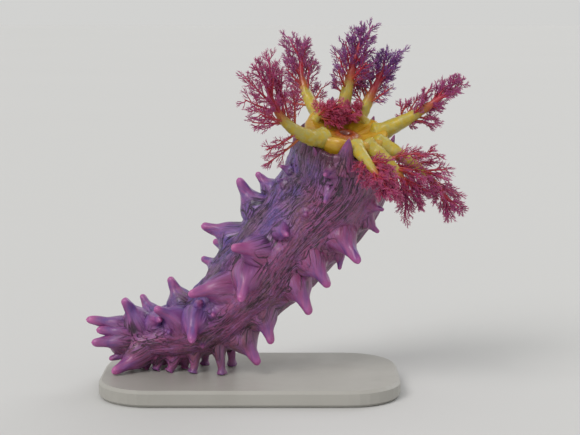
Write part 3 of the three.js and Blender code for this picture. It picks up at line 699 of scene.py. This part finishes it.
def risen_patches(shafts):
    """Patches of skin drawn up into shafts. Ring w of a patch starts on the skin at the distance
    flare * (1 - w) from the root and is carried by a smooth step to the shaft's own ring: the centre
    line's point plus the shaft's radius along the ways ahead and round, squared off to the line."""
    w = np.linspace(0, 1, PATCH_RINGS)[None, :, None]
    phi = once_round(PATCH_COLUMNS)[None, None, :]
    share, angle, flare = (values[:, None, None] for values in (shafts.share, shafts.angle, shafts.flare))
    away = flare * (1 - 0.93 * w)
    at_share = np.clip(share + away * np.cos(phi) / LENGTH, SKIN_START, 1)
    at_angle = angle + away * np.sin(phi) / width_at(share)
    base, flow = skin_point(at_share, at_angle)
    _, out, ahead, _ = rooted(share[:, :, 0], angle[:, :, 0])
    leaving = smooth(0.1, 0.55, w)
    normal = unit(mix(out, unit(np.gradient(shafts.centre, axis=1)), leaving))
    first = squared_off(ahead, normal)
    ring = turned(first[:, :, None], np.cross(normal, first)[:, :, None], phi)
    knobs = 1 + 0.05 * np.sin(3 * phi + 9 * w + share * 90) + 0.03 * np.sin(5 * phi - 14 * w + share * 50)
    shaft = shafts.centre[:, :, None] + ring * (shafts.radius[:, :, None] * knobs)[..., None]
    proud = PATCH_RISE * smooth(0.0, 0.08, w) - EDGE_DEPTH
    points = mix(base, shaft, smooth(0.0, 0.32, w)[..., None]) + out[:, :, None] * proud[..., None]
    flow = flow * (1 + 0.08 * shafts.lift[:, :, None, None])
    # The fourth value is the crown's painted shade at each point of the patches.
    return points, flow, np.sin(at_angle), near_mouth(at_share), shafts.centre[:, 0] - out[:, 0] * PATCH_DEPTH


def papilla_shafts():
    """Centre lines and radii of all papillae. A line runs from the skin along the papilla's way, which
    leans and swings from the skin's normal, and bends on with the square of the height. The radius
    is a flare that dies away from the skin, an even taper to the tip, and a round end."""
    share, degrees, length, lean, swing = ROWS.T
    angle = np.radians(degrees)
    place, out, ahead, round_way = rooted(share, angle)
    lean, swing = np.tan(np.radians([lean, swing]))[..., None]
    way = unit(out + ahead * lean + round_way * swing)
    w = np.linspace(0, 1, PATCH_RINGS)[None, :]
    h = np.clip((w - 0.14) / 0.86, 0, 1)
    root, flare = ROOTS[:, None], ROOTS * FLARE_SHARE
    body = root * mix(1.0, TIP_SHARE, h**0.85) + (flare[:, None] - root) * (1 - smooth(0.0, 0.62, w))
    end = np.sqrt(np.clip(1 - (np.clip(h - 0.86, 0, 1) / 0.14) ** 2, 0, 1))
    tall = (length[:, None] * h)[..., None]
    bend = (way - out)[:, None] * BEND * h[..., None]
    centre = place[:, None] + (way[:, None] + bend) * tall
    tip = h * mix(0.5, 1.0, smooth(1.0, 5.0, length))[:, None]
    return Shafts(share, angle, flare, centre, body * end, h * length[:, None] / 9, tip, 1.0)


def foot_shafts():
    """Centre lines and radii of the tube feet. A line is a bow from the underside down to the base:
    root * (1 - h)^2 + middle * 2h(1 - h) + end * h^2. The radius is a flare and a taper, then a
    widened end that lies flat."""
    share, degrees, to_near, to_tail = np.array(FEET).T
    angle = np.radians(degrees)
    root, out, _, _ = rooted(share, angle)
    end = np.stack([root[:, 0] - to_tail, root[:, 1] - to_near, np.full(len(share), FEET_LEVEL)], -1)
    middle = mix(root, end, 0.5) + out * 0.6
    w = np.linspace(0, 1, PATCH_RINGS)[None, :]
    lift = np.clip((w - 0.14) / 0.78, 0, 1)
    h = lift[..., None]
    bow = root[:, None] * (1 - h) ** 2 + middle[:, None] * 2 * h * (1 - h) + end[:, None] * h**2
    flare = FOOT_ROOT * FOOT_FLARE
    radius = mix(FOOT_ROOT, FOOT_TIP, smooth(0.1, 0.7, w)) + (flare - FOOT_ROOT) * (1 - smooth(0.0, 0.36, w))
    radius = (radius + 0.45 * smooth(0.74, 0.9, w)) * (1 - 0.97 * smooth(0.92, 1.0, w))
    return Shafts(share, angle, np.full(len(share), flare), bow, radius, lift, lift * 0.45, 0.45)


class BuildPapillae(bpy.types.Operator):
    """Build the fleshy papillae and the tube feet, each drawn up out of the skin"""

    bl_idname = "sea_cucumber.papillae"
    bl_label = "Papillae and feet"

    def execute(self, context):
        for name, shafts in (("papillae", papilla_shafts()), ("tube_feet", foot_shafts())):
            points, flow, side, crown_shade, sunk = risen_patches(shafts)
            sine, rim = np.sin(shafts.angle), near_mouth(shafts.share)
            make_tubes(
                name, points, (sunk, shafts.centre[:, -1]), shared("sea_cucumber_skin", skin_material),
                {
                    "tip": (shafts.tip[:, :, None], 0, shafts.peak),
                    "side": (side, sine, sine),
                    # Papillae near the mouth take the crown's painted shade.
                    "crown_shade": (crown_shade, rim, rim),
                },
                flow, (shafts.angle, shafts.share),
            )
        return {"FINISHED"}


# Flaps and disc

# Rings and columns of a flap, the share of the body where it stands, and the depth of its root
FLAP_RINGS, FLAP_COLUMNS, FLAP_SHARE, FLAP_DEPTH = 30, 32, 0.985, 2.5
# How far up the papillae's range of tints a flap's tip comes, and how rosy its skin is
FLAP_TINT, FLAP_ROSY = 0.45, -2.0
DISC_RINGS, DISC_COLUMNS = 90, 160
# Radius and height of the disc's section, from under the collar over the rim to the mouth
DISC_PROFILE = np.array([
    [11.2, -2.9], [11.5, -1.2], [11.7, 0.4], [12.2, 2.0], [12.3, 3.5], [11.7, 4.6], [10.5, 4.8], [8.8, 3.9],
    [7.0, 3.0], [5.2, 2.35], [3.8, 2.3], [2.8, 2.75], [1.9, 2.7], [1.2, 2.0], [0.7, 0.9], [0.15, 0.3],
])
# Height of the mouth's floor above the rim
MOUTH_FLOOR = 0.2


def flap_surface():
    """Flaps as flattened tubes with shallow grooves. The centre line runs from under the skin along the
    flap's way and bows outwards with the square of its length. The radius is a flare at the root, a
    taper to a fifth of the root's radius, and a rounded tip. Returns the points, the place of each on
    the straightened body, and how near the tip it is."""
    degrees, length, lean, root = (column[:, None, None] for column in np.array(ORAL_FLAPS, float).T)
    angle = np.radians(degrees[:, :, 0])
    place, out, ahead, _ = rooted(np.full_like(angle, FLAP_SHARE), angle)
    way = unit(ahead + out * np.tan(np.radians(lean)))
    t = np.linspace(0, 1, FLAP_RINGS)[None, :, None]
    h = mix(-FLAP_DEPTH, length, t)
    centre = place - out * root * 0.75 + way * h + out * 0.075 * length * t**2
    radius = root * mix(1.45, 0.2, t**0.95) * np.sqrt(np.clip(1 - t**9, 0, 1))
    radius = radius + root * 0.25 * (1 - smooth(0.1, 0.5, t))
    phi = once_round(FLAP_COLUMNS)[None, None, :]
    ring = turned(out[:, :, None] * 0.78, np.cross(way, out)[:, :, None] * 1.12, phi)
    grooves = 1 + 0.05 * np.sin(4 * phi + 3 * t) + 0.04 * np.sin(7 * phi + 5 * t)
    points = centre[:, :, None] + ring * (radius * grooves)[..., None]
    flow = np.stack(np.broadcast_arrays(h + LENGTH, 4 * np.cos(phi), 4 * np.sin(phi)), -1)
    return points, flow, np.broadcast_to(smooth(-0.1, 1.0, t), points.shape[:3])


class BuildFlaps(bpy.types.Operator):
    """Build the pointed flaps that stand on the rim round the mouth"""

    bl_idname = "sea_cucumber.flaps"
    bl_label = "Mouth flaps"

    def execute(self, context):
        points, flow, tip = flap_surface()
        make_tubes(
            "mouth_flaps", points, points[:, (0, -1)].mean(2).swapaxes(0, 1),
            shared("sea_cucumber_skin", skin_material),
            {
                "tip": (tip * FLAP_TINT, 0, FLAP_TINT),
                "side": (FLAP_ROSY, FLAP_ROSY, FLAP_ROSY),
                # The flaps take the crown's painted shade, darkest at their roots.
                "crown_shade": ((1 - tip) * 0.7, 1, 0),
            },
            flow,
        )
        return {"FINISHED"}


def disc_surface():
    """The profile turned round the mouth's way: ten low lobes, a sine of ten times the angle, swell
    the rim, and sixteen pleats, the size of a sine of eight times the angle, rise towards the mouth.
    Returns the points and how near the mouth each ring is."""
    t = np.linspace(0, 1, DISC_RINGS)[:, None]
    phi = once_round(DISC_COLUMNS)[None, :]
    radius, height = catmull_rom(DISC_PROFILE, t[:, 0]).T[..., None]
    lobes = smooth(0.15, 0.35, t) * (1 - smooth(0.45, 0.7, t)) * np.sin(10 * phi + 0.6)
    pleats = smooth(0.4, 0.6, t) * (1 - smooth(0.9, 1.0, t)) * np.abs(np.sin(8 * phi))
    wide = radius * (1 + 0.018 * lobes)
    tall = height + 0.25 * lobes + 0.22 * pleats * radius / 6
    across = turned(MOUTH_RIGHT, MOUTH_BACK, phi)
    return MOUTH_POINT + across * wide[..., None] + MOUTH_AHEAD * tall[..., None], smooth(0.35, 1.0, t[:, 0])


class BuildDisc(bpy.types.Operator):
    """Build the golden disc with its pleats and the puckered mouth in its middle"""

    bl_idname = "sea_cucumber.disc"
    bl_label = "Mouth disc"

    def execute(self, context):
        points, inward = disc_surface()
        poles = MOUTH_POINT + MOUTH_AHEAD * np.array([[DISC_PROFILE[0, 1]], [MOUTH_FLOOR]])
        disc = make_tubes(
            "mouth_disc", points[None], (poles[:1], poles[1:]), shared("mouth_disc_flesh", disc_material),
            {"inward": (inward[:, None], 0, 1)},
        )
        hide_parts("oral_disc")
        return {"FINISHED"}


# Tentacles

# Steps and columns of a stem, how far it is sunk in the disc, the length over which its end is
# rounded, and the steps of the sunk part
STEM_STEPS, STEM_COLUMNS, STEM_SUNK, STEM_DOME, SUNK_STEPS = 90, 28, 2.2, 3.6, 8
# Primary branches of a large and of a small tentacle, the points and sides of one, and its radii
LARGE_BRANCHES, SMALL_BRANCHES, BRANCH_POINTS, BRANCH_SIDES = 19, 13, 10, 6
BRANCH_ROOT, BRANCH_TIP = 0.46, 0.17
# Tone of the branches at the stem's foot, its rise along the stem, and its rise along a branch
BRANCH_TONE, TONE_BY_PLACE, TONE_BY_BRANCH = 0.18, 0.38, 0.32

# Orders of side shoots: how many a parent, where they start on it, tilt in degrees, length, steps,
# radius at root and tip, tone above the parent's, its rise, sides of the tube, and key of the draws
Order = namedtuple("Order", "number start tilt length steps root tip tone rise sides key")
ORDERS = (
    Order(7, 0.26, 58, 4.3, 6, 0.18, 0.11, 0.22, 0.25, 5, 100),
    Order(5, 0.3, 52, 2.1, 3, 0.11, 0.075, 0.16, 0.2, 4, 200),
    Order(4, 0.35, 46, 1.05, 2, 0.075, 0.05, 0.14, 0.15, 3, 300),
)


def stem_line(tentacle):
    """The stem's centre line: steps of equal length whose heading and rise change evenly, in the
    frame of right, back and ahead at the mouth."""
    t = (np.arange(STEM_STEPS) + 0.5) / STEM_STEPS
    heading = np.radians(tentacle.heading + tentacle.turn * t)
    rise = np.radians(tentacle.rise + tentacle.curl * t)
    way = turned(turned(MOUTH_RIGHT, MOUTH_BACK, heading), MOUTH_AHEAD, rise)
    place = turned(MOUTH_RIGHT, MOUTH_BACK, np.radians(tentacle.place))
    start = MOUTH_POINT + RING_RADIUS * place + MOUTH_AHEAD * RING_RISE
    return np.vstack([start, start + np.cumsum(way * tentacle.length / STEM_STEPS, axis=0)])


def along_lines(lines, share):
    """Points at shares along lines of evenly spaced points, a row of shares for each line, and the
    ways the lines run there."""
    spans = lines.shape[1] - 1
    x = np.clip(share, 0, 1) * spans
    i = np.minimum(x.astype(int), spans - 1)
    line = np.arange(len(lines))[:, None]
    a, b = lines[line, i], lines[line, i + 1]
    return mix(a, b, (x - i)[..., None]), unit(b - a)


def least_way(lines):
    """The axis that each line runs least along, from its first point to its last."""
    return np.eye(3)[np.argmin(np.abs(lines[:, -1] - lines[:, 0]), axis=1)][:, None]


def tubes(lines, radii, columns):
    """Tubes round many lines at once: each ring is the point plus the radius along two ways squared
    off to the line, the first taken from the axis that the line runs least along."""
    tangent = unit(np.gradient(lines, axis=1))
    first = unit(np.cross(tangent, least_way(lines)))
    phi = once_round(columns)[None, None, :]
    ring = turned(first[:, :, None], np.cross(tangent, first)[:, :, None], phi)
    return lines[:, :, None] + ring * radii[:, :, None, None]


def side_shoots(lines, sizes, number, order, index):
    """Side shoots on either side of every line. Shoot k leaves at an even share of the span, at the
    tilt from the line's way, on alternate sides of a plane that turns from line to line, and bends
    back towards that way with the square of its length. Shoots are shorter towards the line's end."""
    key = order.key + index
    k = np.arange(number)[None, :]
    line = np.arange(len(lines))[:, None]
    share = mix(order.start, 1.0, (k + 0.7 * vary(line, k, key)) / number)
    origin, way = along_lines(lines, share)
    across = unit(np.cross(way, least_way(lines)))
    roll = 2 * math.pi * vary(line, key, 1) + k * math.pi + mix(-0.9, 0.9, vary(line, k, key + 2))
    out = turned(across, np.cross(across, way), roll)
    tilt = np.radians(order.tilt + mix(-12, 12, vary(line, k, key + 3)))
    leaving, bend = turned(way, out, tilt), way * 0.34 - out * 0.22
    reach = order.length * sizes[:, None] * mix(1.15, 0.6, share) * mix(0.7, 1.15, vary(line, k, key + 4))
    h = np.linspace(0, 1, order.steps + 1)[None, None, :, None]
    grown = (leaving[:, :, None] * h + bend[:, :, None] * h**2) * reach[..., None, None]
    return (origin[:, :, None] + grown).reshape(-1, order.steps + 1, 3)


def primary_branches(tentacle, index, stem, number):
    """Branches straight off the stem, on either side of it as seen from -Y. Every third one has the
    place, turn and length of a branch in the solids, and those between are shorter. On the small
    tentacles those between also turn in over the mouth."""
    j = np.arange(number)
    i = j / 3
    main = j % 3 == 0
    even = mix(BRANCH_FROM, BRANCH_TO, i / (BRANCH_SOLIDS - 1))
    share = np.where(main, even, mix(0.24, 1.0, j / (number - 1)))
    key = np.where(main, i, 50 + j)
    origin, way = (values[0] for values in along_lines(stem[None], share[None]))
    across = unit(np.cross(way, np.array([0.0, 1.0, 0.0])))
    scatter = math.radians(BRANCH_SCATTER) * np.where(main, 1.0, 1.2)
    turn = np.where(main, i, j + 1) * math.pi + scatter * mix(-1, 1, vary(key, index))
    placed = tentacle.size * mix(1.25, 0.5, share) * mix(0.85, 1.1, vary(key, index, 20))
    between = max(tentacle.size, 0.72) * mix(1.0, 0.75, share) * mix(0.5, 1.15, vary(j, index, 21))
    reach = BRANCH_LENGTH * np.where(main, placed, between)
    tilt = np.radians(mix(LOW_TILT, HIGH_TILT, share) + mix(-8, 8, vary(key, index, 30)))
    leaving = turned(way, turned(across, np.cross(across, way), turn), tilt)
    if tentacle.length < SMALL_STEM:
        inward = unit(MOUTH_POINT + MOUTH_AHEAD * 5 - MOUTH_BACK * 7 - origin)
        leaving = unit(leaving + inward * np.where(main, 0.0, 0.6)[:, None])
    h = np.linspace(0, 1, BRANCH_POINTS)[None, :, None]
    bowed = leaving[:, None] * h + way[:, None] * BRANCH_BEND * h**2
    return origin[:, None] + bowed * reach[:, None, None], share, reach


def rooted_stem(tentacle):
    """A stem's centre line, drawn out straight into the disc, the shares along it, and its radius: the
    solid's taper, a flare where it leaves the disc, and a quarter circle that rounds its sunk end."""
    line = stem_line(tentacle)
    back = np.linspace(STEM_SUNK, 0, SUNK_STEPS, endpoint=False)[:, None]
    line = np.vstack([line[0] - unit(line[1] - line[0]) * back, line])
    t = np.concatenate([np.zeros(SUNK_STEPS), np.linspace(0, 1, STEM_STEPS + 1)])
    from_end = STEM_SUNK + t * tentacle.length
    from_end[:SUNK_STEPS] -= back[:, 0]
    rounded = np.sqrt(1 - (1 - np.clip(from_end / STEM_DOME, 0.02, 1)) ** 2)
    return line, t, mix(tentacle.root, STEM_TIP, t**0.9) * (1 + 0.3 * np.exp(-t / 0.05)) * rounded


def stem_tone(tentacle, t):
    """Tone along a stem: an even rise on the small tentacles, and a smooth step on the others, which
    comes sooner the more violet their tips are."""
    if tentacle.length < SMALL_STEM:
        return 0.05 + 0.45 * t
    return 0.05 + 0.52 * smooth(mix(0.5, 0.08, tentacle.violet), mix(1.0, 0.75, tentacle.violet), t)


class BuildStems(bpy.types.Operator):
    """Build the ten yellow stems that rise from the disc"""

    bl_idname = "sea_cucumber.stems"
    bl_label = "Tentacle stems"

    def execute(self, context):
        for index, tentacle in enumerate(TENTACLES):
            line, t, radius = rooted_stem(tentacle)
            points = tubes(line[None], radius[None], STEM_COLUMNS)
            knots = ripple(points, 3.2, 40 + index) * 0.07 + ripple(points, 1.1, 60 + index) * 0.03
            points = mix(line[None, :, None], points, 1 + knots[..., None])
            tone = stem_tone(tentacle, t)
            name = f"{index + 1:02d}"
            stem = make_tubes(
                f"stem_flesh_{name}", points, (line[:1], line[-1:]),
                shared("tentacle_flesh", tentacle_material),
                {"tone": (tone[:, None], tone[0], tone[-1]), "violet": (tentacle.violet,) * 3},
            )
            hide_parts(f"tentacle_{name}_stem")
        return {"FINISHED"}


def tentacle_shoots(tentacle, index, density):
    """Four orders of branchlets of one tentacle: lines, radii, tones at both ends, the share of the
    stem where each one's own branch leaves, and the sides of a tube, one order a group."""
    number = SMALL_BRANCHES if tentacle.length < SMALL_STEM else LARGE_BRANCHES
    lines, share, reach = primary_branches(tentacle, index, stem_line(tentacle), number)
    radii = mix(BRANCH_ROOT, BRANCH_TIP, np.linspace(0, 1, BRANCH_POINTS))
    tone = BRANCH_TONE + TONE_BY_PLACE * share
    groups = [(lines, radii, tone, tone + TONE_BY_BRANCH, share, BRANCH_SIDES)]
    sizes = np.sqrt(reach / BRANCH_LENGTH)
    for order in ORDERS:
        number = max(3, round(order.number * density))
        lines = side_shoots(lines, sizes, number, order, index)
        radii = mix(order.root, order.tip, np.linspace(0, 1, order.steps + 1))
        tone, share, sizes = (np.repeat(v, number) for v in (tone + order.tone, share, sizes))
        groups.append((lines, radii, tone, tone + order.rise, share, order.sides))
    return groups


class BuildBranchlets(bpy.types.Operator):
    """Build the branchlets of every tentacle, four orders of them down to the finest tips"""

    bl_idname = "sea_cucumber.branchlets"
    bl_label = "Branchlets"

    def execute(self, context):
        for index, tentacle in enumerate(TENTACLES):
            groups = tentacle_shoots(tentacle, index, context.scene.sea_cucumber.density)
            total = sum(len(group[0]) for group in groups)
            points, quads, triangles, tones, bake = [], [], [], [], []
            start, band = 0, 0.0
            for lines, radii, low, high, share, sides in groups:
                count, rings = lines.shape[:2]
                tips = lines[:, -1] + unit(lines[:, -1] - lines[:, -2]) * radii[-1] * 0.8
                points.append(with_poles(tubes(lines, np.tile(radii, (count, 1)), sides), lines[:, 0], tips))
                four, three = tube_faces(count, rings, sides)
                quads.append(four + start)
                triangles.append(three + start)
                start += len(points[-1])
                tone = mix(low[:, None], high[:, None], np.linspace(0, 1, rings)[None])
                tones.append(with_poles(np.repeat(tone, sides), low, high))
                # Each order has a band of the bake map, as wide as its share of the tubes
                width = 0.04 + 0.84 * count / total
                cells = bake_cells(count, rings, sides, np.arange(count) % 7, share)
                bake.append(cells * np.array([1.0, width * 0.97]) + np.array([0.0, band]))
                band += width
            name = f"{index + 1:02d}"
            piece = make_piece(
                f"branchlets_{name}", np.concatenate(points),
                (np.concatenate(quads), np.concatenate(triangles)),
                shared("tentacle_flesh", tentacle_material),
                {"tone": np.concatenate(tones), "violet": np.full(start, tentacle.violet)},
                np.concatenate(bake),
            )
            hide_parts(f"tentacle_{name}_branches")
        return {"FINISHED"}


class DressStand(bpy.types.Operator):
    """Give the display base its satin moulded finish"""

    bl_idname = "sea_cucumber.stand"
    bl_label = "Base finish"

    def execute(self, context):
        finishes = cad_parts["stand_base"].data.materials
        finishes.clear()
        finishes.append(shared("stand_plate", stand_material))
        return {"FINISHED"}


# Stage

# The point that the camera looks at, its distance in millimetres and its height in degrees
CAMERA_TARGET, CAMERA_DISTANCE, CAMERA_ELEVATION = (12.0, 0.0, 52.1), 450.0, 8.0
# The photograph's width in pixels, millimetres a pixel at the animal, and the camera's sensor width
PHOTO_WIDTH, MM_PER_PIXEL, SENSOR = 580, 0.3, 36.0
# The floor's half width, its depth below the base, and the lines of its grid
FLOOR_HALF, FLOOR_DROP, FLOOR_LINES = 9000.0, 0.05, 12
# Lights: the way each comes from, its share of the strength set, spread in degrees and tint
LIGHTS = {
    "key_light": ((-0.5, -0.62, 0.75), 1.0, 28, (1.0, 0.98, 0.96)),
    "back_light": ((0.55, 0.6, 0.55), 0.42, 40, (0.95, 0.97, 1.0)),
}
WORLD_STRENGTH = 0.66


def soft_light(name, towards, strength, degrees, tone):
    """A light as even as a wide studio panel far away, that comes from the direction given."""
    data = bpy.data.lights.new(name, "SUN")
    data.energy, data.angle, data.color = strength, math.radians(degrees), tone
    light = bpy.data.objects.new(name, data)
    light.rotation_euler = (-Vector(towards)).to_track_quat("-Z", "Y").to_euler()
    light.location = Vector(towards)
    bpy.context.scene.collection.objects.link(light)


class BuildStage(bpy.types.Operator):
    """Build the pale floor, the soft lights and the camera at the photograph's angle"""

    bl_idname = "sea_cucumber.stage"
    bl_label = "Stage"

    def execute(self, context):
        scene = context.scene
        line = np.linspace(-FLOOR_HALF, FLOOR_HALF, FLOOR_LINES)
        x, y = np.meshgrid(line, line)
        points = np.stack([x, y, np.full_like(x, -FLOOR_DROP)], -1).reshape(-1, 3)
        cell = np.arange(FLOOR_LINES - 1)
        a = (cell[:, None] * FLOOR_LINES + cell[None]).ravel()
        quads = np.stack([a, a + 1, a + FLOOR_LINES + 1, a + FLOOR_LINES], -1)
        mesh = bpy.data.meshes.new("studio_floor")
        mesh.from_pydata((points * MM).tolist(), [], quads.tolist())
        mesh.materials.append(floor_material())
        floor = bpy.data.objects.new("studio_floor", mesh)
        scene.collection.objects.link(floor)
        for name, (towards, share, degrees, tone) in LIGHTS.items():
            soft_light(name, towards, scene.sea_cucumber.light * share, degrees, tone)
        world = bpy.data.worlds.new("studio_world")
        world.use_nodes = True
        world.node_tree.nodes["Background"].inputs["Color"].default_value = WORLD_WHITE
        world.node_tree.nodes["Background"].inputs["Strength"].default_value = WORLD_STRENGTH
        scene.world = world
        scene.view_settings.view_transform = "Standard"
        data = bpy.data.cameras.new("photo_camera")
        data.sensor_width = SENSOR
        data.lens = SENSOR * CAMERA_DISTANCE / (PHOTO_WIDTH * MM_PER_PIXEL)
        data.clip_start, data.clip_end = 0.01, 20
        camera = bpy.data.objects.new("photo_camera", data)
        tilt = math.radians(CAMERA_ELEVATION)
        away = Vector((0, -math.cos(tilt), math.sin(tilt))) * CAMERA_DISTANCE
        place = (Vector(CAMERA_TARGET) + away) * MM
        turn = (-away).to_track_quat("-Z", "Y").to_matrix().to_4x4()
        camera.matrix_world = Matrix.Translation(place) @ turn
        scene.collection.objects.link(camera)
        scene.camera = camera
        return {"FINISHED"}


class SeaCucumberPanel(bpy.types.Panel):
    """Settings and build buttons in the sidebar of the 3D view"""

    bl_idname = "VIEW3D_PT_sea_cucumber"
    bl_label = "Sea Cucumber"
    bl_space_type = "VIEW_3D"
    bl_region_type = "UI"
    bl_category = "Sea Cucumber"

    def draw(self, context):
        layout = self.layout
        settings = context.scene.sea_cucumber
        for name in SeaCucumberSettings.__annotations__:
            layout.prop(settings, name)
        for operator in OPERATORS:
            layout.operator(operator.bl_idname)


OPERATORS = (
    BuildSkin, BuildPapillae, BuildFlaps, BuildDisc, BuildStems, BuildBranchlets, DressStand, BuildStage,
)
CLASSES = (SeaCucumberSettings, *OPERATORS, SeaCucumberPanel)


def register():
    for item in CLASSES:
        bpy.utils.register_class(item)
    bpy.types.Scene.sea_cucumber = bpy.props.PointerProperty(type=SeaCucumberSettings)


def unregister():
    del bpy.types.Scene.sea_cucumber
    for item in reversed(CLASSES):
        bpy.utils.unregister_class(item)


def main():
    """Registers the add-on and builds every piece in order."""
    register()
    bpy.ops.sea_cucumber.skin()
    bpy.ops.sea_cucumber.papillae()
    bpy.ops.sea_cucumber.flaps()
    bpy.ops.sea_cucumber.disc()
    bpy.ops.sea_cucumber.stems()
    bpy.ops.sea_cucumber.branchlets()
    bpy.ops.sea_cucumber.stand()
    bpy.ops.sea_cucumber.stage()
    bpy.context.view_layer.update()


if __name__ == "__main__":
    main()
